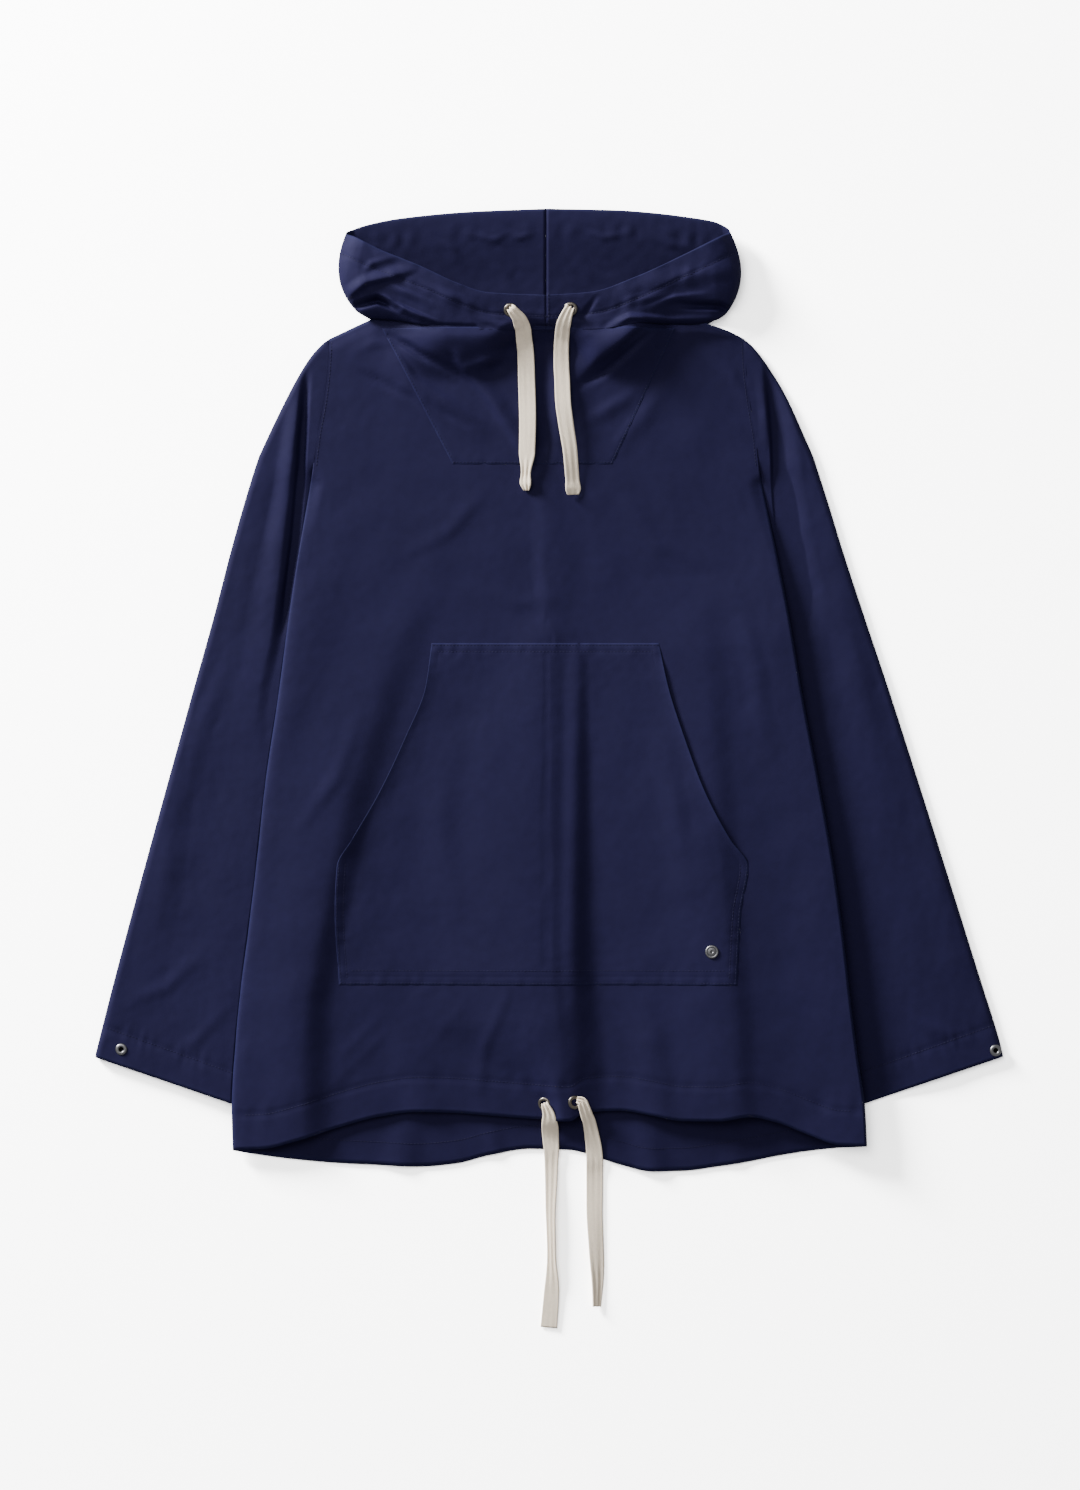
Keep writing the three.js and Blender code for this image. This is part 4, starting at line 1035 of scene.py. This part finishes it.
def sleeve_surface(side, body_edge, outer_edge, sleeve):
    """Returns functions that give the sleeve's upper and lower point for a ring and a share across it."""
    fan_part = 0.16
    fan_span = 6.0
    beside_at = column_curve(sleeve["beside"], "y", "z")

    def plan(ring, share):
        fan = np.minimum(1, ring / fan_part)
        arm = np.maximum(0, (ring - fan_part) / (1 - fan_part))
        inner_y = np.where(
            ring < fan_part, underarm_y - fan_span * fan,
            underarm_y - fan_span + (cuff_inner_y - underarm_y + fan_span) * arm,
        )
        tuck = sleeve_tuck * smoothstep(-inner_y, -105, -60)
        inner_x = body_edge(inner_y) - side * (underarm_overlap + tuck)
        level = inner_y + cuff_lean * np.abs(outer_edge(inner_y + 20) - inner_x)
        spread = fan * fan * 0.35 + fan * 0.65
        outer_y = np.where(ring < fan_part, shoulder_y + (level - shoulder_y) * spread, level)
        outer_x = outer_edge(outer_y)
        bend = 1 - fan
        x = inner_x + (outer_x - inner_x) * share
        y = inner_y + (outer_y - inner_y) * share
        seam_y = underarm_y + (shoulder_y - underarm_y) * share
        seam_x = body_edge(seam_y) - side * 0.8
        width = np.hypot(outer_x - inner_x, outer_y - inner_y)
        return x + (seam_x - x) * bend, y + (seam_y - y) * bend, width, bend

    def upper(ring, share):
        x, y, width, bend = plan(ring, share)
        from_body = side * (x - body_edge(np.minimum(y, underarm_y)))
        beside = beside_at(y)
        reach = sleeve["sink"] * (1 + 0.5 * smoothstep(-y, 0, 380))
        rest = beside + (sleeve["rest"] - beside) * smoothstep(from_body / reach, 0.08, 1)
        rest = rest + (front_rest - rest) * smoothstep(y, 190, 222)
        folded = rest + folds_height(sleeve["folds"], x, y)
        folded = folded + rumple(x, y, 30, 0.5, 11.3 * side) + rumple(x, y, 8, 0.14, 5.0)
        folded = np.maximum(sleeve_thinnest, folded)
        tucked = smoothstep(-from_body, sleeve["overlap"], sleeve["overlap"] + 1.2)
        tucked = tucked * smoothstep(-y, -105, -60)
        folded = folded + (np.minimum(folded, 3.2) - folded) * tucked
        across = np.sin(share * 61 + 2 * np.sin(share * 17)) * np.sin(share * 23 + 1)
        from_stitches = (ring - cuff_stitch_ring) * sleeve_run
        puckers = 0.3 * across * np.exp(-(from_stitches / 9.0) ** 2)
        folded = folded + puckers - 0.5 * np.exp(-(from_stitches / 2.6) ** 2)
        seam_z = front_height(x, y) + 0.03
        folded = folded + (seam_z - folded) * bend ** 3
        inset = np.minimum(share, 1 - share) * width
        roll = np.minimum(1, inset / edge_roll)
        half = sleeve_pinch / 2
        rounded = np.sqrt(1 - (1 - roll) ** 2)
        at_armhole = 1 - (1 - rounded) * (1 - bend ** 3)
        return x, y, half + (folded - half) * at_armhole

    def lower(ring, share):
        x, y, width, _ = plan(ring, share)
        inset = np.minimum(share, 1 - share) * width
        roll = np.minimum(1, inset / edge_roll)
        return x, y, sleeve_pinch / 2 * (1 - np.sqrt(1 - (1 - roll) ** 2))

    return upper, lower


def make_sleeve(name, side, body_edge, outer_edge, sleeve, node):
    upper, lower = sleeve_surface(side, body_edge, outer_edge, sleeve)
    rings = np.linspace(0, 1, 220)[:, None]
    across = 80
    rolled = (1 - np.cos(np.linspace(0, math.pi, across))) / 2
    top_shares = (0.55 * rolled + 0.45 * np.linspace(0, 1, across))[None, :]
    bottom_shares = ((1 - np.cos(np.linspace(math.pi, 0, 20))) / 2)[1:-1][None, :]
    ones = np.ones_like(rings)
    top = np.stack([part + 0 * (ones * top_shares) for part in upper(rings, top_shares)], axis=2)
    bottom = np.stack([part + 0 * (ones * bottom_shares) for part in lower(rings, bottom_shares)], axis=2)
    outer = np.concatenate([top, bottom], axis=1)
    if side > 0:
        outer = outer[:, ::-1]
    sleeve_grids[name] = top
    seam_thinning = np.maximum(0, 1 - rings / 0.03)[:, :, None]
    inner = offset_grid(outer, -cloth_thickness * (1 - 0.85 * seam_thinning), True)
    inner[:, :, 2] = np.clip(inner[:, :, 2], 0.3, None)
    uv = outer[:, :, :2] * MM
    mesh = grid_mesh(name, outer, inner, True, uv)
    ring_wear = np.exp(-(1 - rings) * 640 / 2.0) + 0 * outer[:, :, 0]
    set_wear(mesh, ring_wear)
    piece = place_piece(name, mesh, cotton, "cloth", node)
    shares = np.linspace(0.075, 0.985, 160)
    cuff_x, cuff_y, cuff_z = upper(np.full(160, cuff_stitch_ring), shares)
    cuff_line = np.stack([cuff_x, cuff_y, cuff_z + 0.1], axis=1)
    seam_y = np.linspace(underarm_y + 4, shoulder_y - 4, 80)
    seam_x = body_edge(seam_y) - side * 3.0
    armhole_line = np.stack([seam_x, seam_y, front_height(seam_x, seam_y) + 0.1], axis=1)
    sew(name.replace("panel", "stitches"), [cuff_line, armhole_line])


left_outer_edge = column_curve(left_outer, "y", "x")
right_outer_edge = column_curve(right_outer, "y", "x")
left_sleeve = {
    "rest": 6.4, "sink": 50.0, "overlap": 0.2, "beside": left_beside, "folds": left_sleeve_folds,
}
right_sleeve = {
    "rest": 5.0, "sink": 62.0, "overlap": -1.4, "beside": right_beside, "folds": right_sleeve_folds,
}
make_sleeve("sleeve_left_panel", -1, body_left, left_outer_edge, left_sleeve, "sleeve_left")
make_sleeve("sleeve_right_panel", 1, body_right, right_outer_edge, right_sleeve, "sleeve_right")

# Hood
# Two halves of the same cotton, seamed at the centre back and the centre front.
# The hood slumps over the shoulders, its mouth open to the top, its edge stitched as a casing.
hood_seam_x = -3.0
left_hood_rows = [
    {"edge": (hood_seam_x, 457.5, 0), "middle": (hood_seam_x, 397, 0), "neck": (hood_seam_x, 333, 0)},
    {"edge": (-77, 454.5, 0), "middle": (-76, 396, 0), "neck": (-75, 334, 0)},
    {"edge": (-150, 447, 0), "middle": (-147, 394, 0), "neck": (-125, 339.6, 0)},
    {"edge": (-183, 439, 0), "middle": (-187, 394, 0), "neck": (-160, 348.5, 0)},
    {"edge": (-193, 434, 6), "middle": (-200, 393, 9), "neck": (-183, 360, 6)},
    {"edge": (-185, 430, 13), "middle": (-192, 388, 20), "neck": (-172, 354, 13)},
    {"edge": (-164, 419, 21), "middle": (-163, 382, 26), "neck": (-148, 351, 14)},
    {"edge": (-121, 401, 26), "middle": (-118, 372, 28), "neck": (-113, 345, 14)},
    {"edge": (-86, 385, 28), "middle": (-83, 364, 27), "neck": (-78, 342, 15)},
    {"edge": (-57, 376.5, 28), "middle": (-54, 360, 25), "neck": (-50, 341, 12)},
    {"edge": (hood_seam_x, 374, 26), "middle": (hood_seam_x, 358, 20), "neck": (hood_seam_x, 341, 9)},
]
right_hood_rows = [
    {"edge": (hood_seam_x, 457.5, 0), "middle": (hood_seam_x, 397, 0), "neck": (hood_seam_x, 333, 0)},
    {"edge": (65, 456, 0), "middle": (63, 397, 0), "neck": (62, 334, 0)},
    {"edge": (128, 450, 0), "middle": (126, 394, 0), "neck": (112, 340, 0)},
    {"edge": (160, 444, 0), "middle": (165, 393, 0), "neck": (144, 346.3, 0)},
    {"edge": (171, 436, 6), "middle": (182, 394, 9), "neck": (168, 358, 6)},
    {"edge": (163, 431, 13), "middle": (174, 388, 20), "neck": (160.5, 352.5, 13)},
    {"edge": (126, 412, 22), "middle": (130, 380, 27), "neck": (132, 347, 14)},
    {"edge": (83, 392, 27), "middle": (86, 370, 28), "neck": (90, 348, 15)},
    {"edge": (39, 377, 28), "middle": (42, 361, 25), "neck": (48, 342, 12)},
    {"edge": (hood_seam_x, 374, 26), "middle": (hood_seam_x, 358, 20), "neck": (hood_seam_x, 341, 9)},
]
hood_folds = [
    {"path": [(-194, 369), (-190, 374), (-173, 386), (-147, 392), (-123, 400)], "rise": [0.5, 3, 4, 3.4, 0],
     "left": 11, "right": 4.5},
    {"path": [(-182, 365), (-163, 370), (-144, 362)], "rise": [-5, -10, -3], "left": 6, "right": 5},
    {"path": [(-156, 373), (-147, 366), (-128, 357), (-106, 348)], "rise": [1, 4.4, 4, 0.5],
     "left": 4, "right": 6},
    {"path": [(-150, 384), (-138, 378), (-112, 366)], "rise": [0.4, 2.2, 0.3], "left": 4, "right": 7},
    {"path": [(-176, 396), (-168, 404), (-140, 412)], "rise": [0.4, 1.6, 0.2], "left": 5, "right": 5},
    {"path": [(-118, 349), (-106, 343), (-71, 342)], "rise": [-1, -4, -2], "left": 6, "right": 5},
    {"path": [(-90, 401), (-123, 407), (-161, 413)], "rise": [0, 1.2, 0.6], "left": 8, "right": 8},
    {"path": [(-120, 383), (-92, 372), (-66, 362)], "rise": [0.3, 1.6, 0.2], "left": 7, "right": 9},
    {"path": [(44, 372), (38, 363), (31, 352)], "rise": [-0.6, -1.8, -0.6], "left": 4, "right": 4},
    {"path": [(118, 366), (140, 365), (161, 365), (176, 358)], "rise": [-1, -6, -9.5, -7],
     "left": 5, "right": 6},
    {"path": [(162, 352), (114, 351), (76, 353), (59, 345)], "rise": [2.0, 4.0, 3.4, 1.2],
     "left": 5, "right": 6},
    {"path": [(150, 376), (118, 372), (92, 362)], "rise": [0.4, 2.4, 0.3], "left": 7, "right": 4},
    {"path": [(76, 380), (124, 390), (176, 399)], "rise": [0.4, 2.0, 1.0], "left": 14, "right": 12},
    {"path": [(70, 366), (96, 372), (122, 376)], "rise": [0.3, 1.6, 0.4], "left": 8, "right": 7},
    {"path": [(-68, 354), (-47, 345), (-14, 343)], "rise": [0.4, 1.2, 0.3], "left": 6, "right": 5},
    {"path": [(-15, 345), (-6, 344), (4, 345)], "rise": [-0.8, -2.2, -0.8], "left": 3, "right": 3},
]
inside_creases = [
    {"path": [(-76, 434), (-52, 428), (-38, 436)], "rise": [0.3, 1.2, 0.2], "left": 4, "right": 5},
    {"path": [(-46, 440), (-30, 430), (-16, 434)], "rise": [0.2, 1.1, 0.3], "left": 4, "right": 4},
    {"path": [(-112, 430), (-92, 420), (-86, 404)], "rise": [0.3, 1.0, 0.2], "left": 6, "right": 7},
    {"path": [(30, 438), (52, 430), (78, 436)], "rise": [0.2, 0.9, 0.2], "left": 5, "right": 5},
    {"path": [(96, 436), (116, 424), (138, 420)], "rise": [0.2, 1.0, 0.2], "left": 6, "right": 7},
    {"path": [(-60, 412), (-40, 396), (-36, 380)], "rise": [0.2, 0.8, 0.2], "left": 7, "right": 8},
    {"path": [(24, 410), (40, 396), (60, 390)], "rise": [0.2, 0.7, 0.2], "left": 7, "right": 8},
]
hood_casing = 20.0
hood_fullness = 2.6
hood_top_z = 28.0
hood_bowl = 9.0
hood_grids = {}


def make_hood_half(name, side, rows, node):
    around, down = 200, 52
    table = {part: np.array([row[part] for row in rows], dtype=float) for part in ("edge", "middle", "neck")}
    place = np.linspace(0, len(rows) - 1, around + 1)
    sections = {}
    for part, values in table.items():
        lines = [[{"i": i, "value": value} for i, value in enumerate(values[:, axis])] for axis in range(3)]
        sections[part] = np.stack([column_curve(line, "i", "value")(place) for line in lines], axis=1)
    t = np.linspace(0, 1, down + 1)[None, :, None]
    outer = (sections["edge"][:, None] * (1 - t) * (1 - 2 * t) + sections["middle"][:, None] * 4 * t * (1 - t)
             + sections["neck"][:, None] * t * (2 * t - 1))
    x, y = outer[:, :, 0], outer[:, :, 1]
    share = t[:, :, 0]
    upper = smoothstep(place, 3.6, 5.4)[:, None]
    edge_z = sections["edge"][:, 2][:, None]
    rounded_z = hood_top_z * (1 - (1 - np.minimum(1, edge_z / hood_top_z)) ** 2)
    edge_z = np.minimum(rounded_z, np.maximum(edge_z, 24.0))
    neck_z = np.maximum(sections["neck"][:, 2][:, None] * 0.5, front_height(x[:, -1:], y[:, -1:]) + 0.6)
    full = neck_z + (edge_z - neck_z) * np.sqrt(np.maximum(0, 1 - share ** hood_fullness))
    at_middle = smoothstep(x, -122, -62) * smoothstep(-x, -106, -52)
    above_seam = y - y[:, -1:]
    running_on = front_height(x, y) + 0.15 + 0.85 * smoothstep(above_seam, 0.5, 8)
    running_on = running_on + 2.2 * smoothstep(y, 354, 376)
    full = full + (running_on - full) * at_middle
    creased = full + folds_height(hood_folds, x, y)
    bowl = hood_bowl * smoothstep(y, 372, 452) * (1 - upper)
    lying = np.maximum(0.2, outer[:, :, 2]) + (1 - upper) * folds_height(inside_creases, x, y) + bowl
    outer[:, :, 2] = lying + (creased - lying) * upper
    from_edge = np.hypot(*(outer[:, :, axis] - outer[:, :1, axis] for axis in (0, 1)))
    ripple = np.sin(x / 3.3 + 1.3 * np.sin(x / 11.0)) * np.sin(x / 17.0 + 0.4)
    off_casing = from_edge - hood_casing
    outer[:, :, 2] += np.exp(-(off_casing / 6.0) ** 2) * 0.5 * ripple
    outer[:, :, 2] -= 0.5 * np.exp(-(off_casing / 1.8) ** 2) * upper
    outer[:, :, 2] += 0.2 + rumple(x, y, 22, 0.6, 4.4) * share + rumple(x, y, 8, 0.24, 9.1)
    seam_ridge = np.exp(-((x - hood_seam_x) / 4.0) ** 2)
    outer[:, :, 2] = np.maximum(0.2, outer[:, :, 2]) + 0.3 * seam_ridge
    if side > 0:
        for row in (0, -1):
            outer[row, :, 0] -= 0.5
            outer[row, :, 2] -= 0.06
    hood_grids[name] = outer
    thinned = cloth_thickness * (1 - 0.85 * t ** 12)
    inner = offset_grid(outer, side * thinned, False)
    inner[:, :, 2] = np.maximum(0.02, inner[:, :, 2])
    uv = np.zeros(outer.shape[:2] + (2,))
    uv[:, :, 0] = np.linspace(0, 0.42, around + 1)[:, None]
    uv[:, :, 1] = np.linspace(0, 0.12, down + 1)[None, :]
    mesh = grid_mesh(name, outer, inner, False, uv)
    if side > 0:
        mesh.flip_normals()
    set_wear(mesh, np.exp(-np.linspace(0, 1, down + 1) * 90 / 2.0)[None, :] + 0 * x)
    piece = place_piece(name, mesh, cotton, "cloth", node)
    lifted = outer + (0, 0, 0.12)
    column = np.argmin(np.abs(off_casing), axis=1)
    casing_line = lifted[np.arange(around + 1), column]
    lines = [casing_line]
    if side > 0:
        for rows, away in ((slice(0, around // 2), 1.8), (slice(around // 2, None), 2.2)):
            lines.append(lifted[rows][np.argmin(np.abs(x[rows, down // 2] - hood_seam_x - away))])
    sew(name.replace("panel", "stitches"), lines)


make_hood_half("hood_left_panel", -1, left_hood_rows, "hood_left")
make_hood_half("hood_right_panel", 1, right_hood_rows, "hood_right")

# Metal trims
# Antique dark eyelets pressed into the hood edge and the hem casing, and grey snaps and a stud.


def make_metal(name, colour, roughness):
    """Metal of uneven tone, with painted shade: darker, down to near black, in its hollows and at its rim on
    the cloth.
    """
    material, tree, surface = new_material(name)
    tone = add_tone(tree, colour, 300.0, 0.5)
    # Painted shade: a per-point amount darkens the metal to near black in its hollows and where its rim meets
    # the cloth.
    painted_shade_amount = tree.nodes.new("ShaderNodeAttribute")
    painted_shade_amount.attribute_name = "painted_shade_amount"
    painted_shade_mix = add_colour_mix(tree, (0.004, 0.004, 0.005))
    link(tree, painted_shade_amount, "Fac", painted_shade_mix, "Factor")
    link(tree, tone, "Color", painted_shade_mix, "A")
    tree.links.new(painted_shade_mix.outputs["Result"], surface.inputs["Base Color"])
    set_inputs(surface, {"Metallic": 1.0, "Roughness": roughness})
    return material


eyelet_metal = make_metal("antique_eyelet", (0.2, 0.18, 0.155), 0.32)
snap_metal = make_metal("grey_snap", (0.24, 0.24, 0.25), 0.36)

# Profiles from the middle outwards: radius and height above the cloth, in mm, and the share of painted shade
# there.
eyelet_profile = [
    {"radius": 3.2, "height": -0.5, "painted_shade_amount": 1}, {"radius": 3.3, "height": 0.5, "painted_shade_amount": 0.6},
    {"radius": 3.9, "height": 1.05, "painted_shade_amount": 0}, {"radius": 4.9, "height": 1.25, "painted_shade_amount": 0},
    {"radius": 5.9, "height": 1.0, "painted_shade_amount": 0}, {"radius": 6.5, "height": 0.45, "painted_shade_amount": 0.2},
    {"radius": 6.6, "height": -0.4, "painted_shade_amount": 0.8},
]
snap_profile = [
    {"radius": 0.05, "height": 0.05, "painted_shade_amount": 1}, {"radius": 1.9, "height": 0.05, "painted_shade_amount": 1},
    {"radius": 2.2, "height": 0.3, "painted_shade_amount": 1}, {"radius": 2.5, "height": 0.95, "painted_shade_amount": 0},
    {"radius": 3.3, "height": 1.2, "painted_shade_amount": 0}, {"radius": 4.5, "height": 1.15, "painted_shade_amount": 0},
    {"radius": 5.3, "height": 0.7, "painted_shade_amount": 0}, {"radius": 5.6, "height": 0.1, "painted_shade_amount": 0.4},
    {"radius": 5.6, "height": -0.4, "painted_shade_amount": 1},
]
stud_profile = [
    {"radius": 0.05, "height": 1.25, "painted_shade_amount": 0.3}, {"radius": 2.0, "height": 1.22, "painted_shade_amount": 0.1},
    {"radius": 3.9, "height": 1.1, "painted_shade_amount": 0.3}, {"radius": 4.3, "height": 0.95, "painted_shade_amount": 0.8},
    {"radius": 4.7, "height": 1.3, "painted_shade_amount": 0}, {"radius": 5.6, "height": 1.35, "painted_shade_amount": 0},
    {"radius": 6.2, "height": 0.9, "painted_shade_amount": 0}, {"radius": 6.4, "height": 0.2, "painted_shade_amount": 0.5},
    {"radius": 6.4, "height": -0.4, "painted_shade_amount": 1},
]


def surface_at(grid, x, y):
    """The point of a cloth grid nearest to a place in plan, and the cloth's direction there."""
    distance = np.hypot(grid[:, :, 0] - x, grid[:, :, 1] - y) - 0.2 * grid[:, :, 2]
    row, column = np.unravel_index(np.argmin(distance), distance.shape)
    row = int(np.clip(row, 2, grid.shape[0] - 3))
    column = int(np.clip(column, 2, grid.shape[1] - 3))
    along = grid[row + 2, column] - grid[row - 2, column]
    across = grid[row, column + 2] - grid[row, column - 2]
    normal = np.cross(along, across)
    if normal[2] < 0:
        normal = -normal
    return Vector((x, y, grid[row, column, 2])), Vector(normal).normalized()


def make_trim(name, profile, grid, x, y, material, slot):
    """A round metal trim, spun from its profile and set square on the cloth."""
    centre, normal = surface_at(grid, x, y)
    turn = normal.to_track_quat("Z", "Y")
    around = 28
    points = []
    # Painted shade of each point, taken from the profile.
    painted_shade_amount = []
    for ring in profile:
        for i in range(around):
            angle = 2 * math.pi * i / around
            radius = ring["radius"]
            flat = Vector((radius * math.cos(angle), radius * math.sin(angle), ring["height"]))
            points.append((centre + turn @ flat) * MM)
            painted_shade_amount.append(ring["painted_shade_amount"])
    count = len(profile)
    faces = []
    for r in range(count):
        after = (r + 1) % count
        for i in range(around):
            beside = (i + 1) % around
            faces.append((r * around + i, after * around + i, after * around + beside, r * around + beside))
    mesh = bpy.data.meshes.new(name + "_metal")
    mesh.from_pydata(points, [], faces)
    mesh.polygons.foreach_set("use_smooth", [True] * len(mesh.polygons))
    mesh.attributes.new("painted_shade_amount", "FLOAT", "POINT").data.foreach_set("value", painted_shade_amount)
    place_piece(name + "_metal", mesh, material, slot, name)


def plan_grid(height, x, y):
    """A small grid of the surface around a place."""
    xs, ys = np.meshgrid(np.linspace(x - 5, x + 5, 5), np.linspace(y - 5, y + 5, 5))
    return np.stack([xs, ys, height(xs, ys)], axis=2)


def pocket_surface(x, y):
    return patch_height(pocket_patch, x, y)


metals = {"eyelet_metal": eyelet_metal, "snap_metal": snap_metal}
# The grid of cloth that each trim sits on, and its place in mm, in plan.
eyelets = {
    "eyelet_hood_left": {"grid": hood_grids["hood_left_panel"], "x": -37, "y": 360},
    "eyelet_hood_right": {"grid": hood_grids["hood_right_panel"], "x": 20, "y": 361},
    "eyelet_hem_left": {"grid": plan_grid(front_height, -5, -393), "x": -5, "y": -393},
    "eyelet_hem_right": {"grid": plan_grid(front_height, 24, -391), "x": 24, "y": -391},
}
cuff_snaps = {
    "snap_cuff_left": {"grid": sleeve_grids["sleeve_left_panel"], "x": -407, "y": -341},
    "snap_cuff_right": {"grid": sleeve_grids["sleeve_right_panel"], "x": 424.2, "y": -342.2},
}
studs = {"pocket_stud": {"grid": plan_grid(pocket_surface, 154, -248), "x": 154, "y": -248}}
for trims, profile, slot in (
    (eyelets, eyelet_profile, "eyelet_metal"),
    (cuff_snaps, snap_profile, "snap_metal"),
    (studs, stud_profile, "snap_metal"),
):
    for name, trim in trims.items():
        make_trim(name, profile, trim["grid"], trim["x"], trim["y"], metals[slot], slot)

# Studio
# White paper under the garment, a large soft light from the upper left, a weak one from above
# and an even fill. The camera sees the paper as plain white. The light that it throws back on
# the garment is that of ordinary paper.
floor_mesh = bpy.data.meshes.new("floor")
reach = 6.0
floor_mesh.from_pydata(
    [(-reach, -reach, -0.0002), (reach, -reach, -0.0002), (reach, reach, -0.0002), (-reach, reach, -0.0002)],
    [], [(0, 1, 2, 3)],
)
floor = bpy.data.objects.new("floor", floor_mesh)
bpy.context.scene.collection.objects.link(floor)
floor_material = bpy.data.materials.new("white_paper")
floor_material.use_nodes = True
floor_tree = floor_material.node_tree
floor_tree.nodes.remove(floor_tree.nodes["Principled BSDF"])
paper = floor_tree.nodes.new("ShaderNodeBsdfDiffuse")
paper_white = 0.8
backdrop_white = 5.7
seen_directly = floor_tree.nodes.new("ShaderNodeLightPath")
white = floor_tree.nodes.new("ShaderNodeCombineXYZ")
camera_ray = seen_directly.outputs["Is Camera Ray"]
level = math_node(floor_tree, "MULTIPLY_ADD", camera_ray, backdrop_white - paper_white)
level.node.inputs[2].default_value = paper_white
for axis in ("X", "Y", "Z"):
    floor_tree.links.new(level, white.inputs[axis])
link(floor_tree, white, "Vector", paper, "Color")
link(floor_tree, paper, "BSDF", floor_tree.nodes["Material Output"], "Surface")
floor_mesh.materials.append(floor_material)

world = bpy.data.worlds.new("fill")
bpy.context.scene.world = world
world.use_nodes = True
world.node_tree.nodes["Background"].inputs["Color"].default_value = (1, 1, 1, 1)
world.node_tree.nodes["Background"].inputs["Strength"].default_value = 0.32


def make_softbox(name, towards, distance, size, power):
    """A broad light that shines from one direction, with soft-edged shadows."""
    data = bpy.data.lights.new(name, "AREA")
    data.shape = "SQUARE"
    data.size = size
    data.energy = power
    light = bpy.data.objects.new(name, data)
    bpy.context.scene.collection.objects.link(light)
    light.location = Vector(towards).normalized() * distance
    light.rotation_euler = (-Vector(towards)).to_track_quat("-Z", "Y").to_euler()


make_softbox("key", (-1.7, 1.5, 0.6), 5.5, 1.3, 1040)
make_softbox("overhead", (-0.5, 0.5, 1.2), 4.0, 2.4, 62)
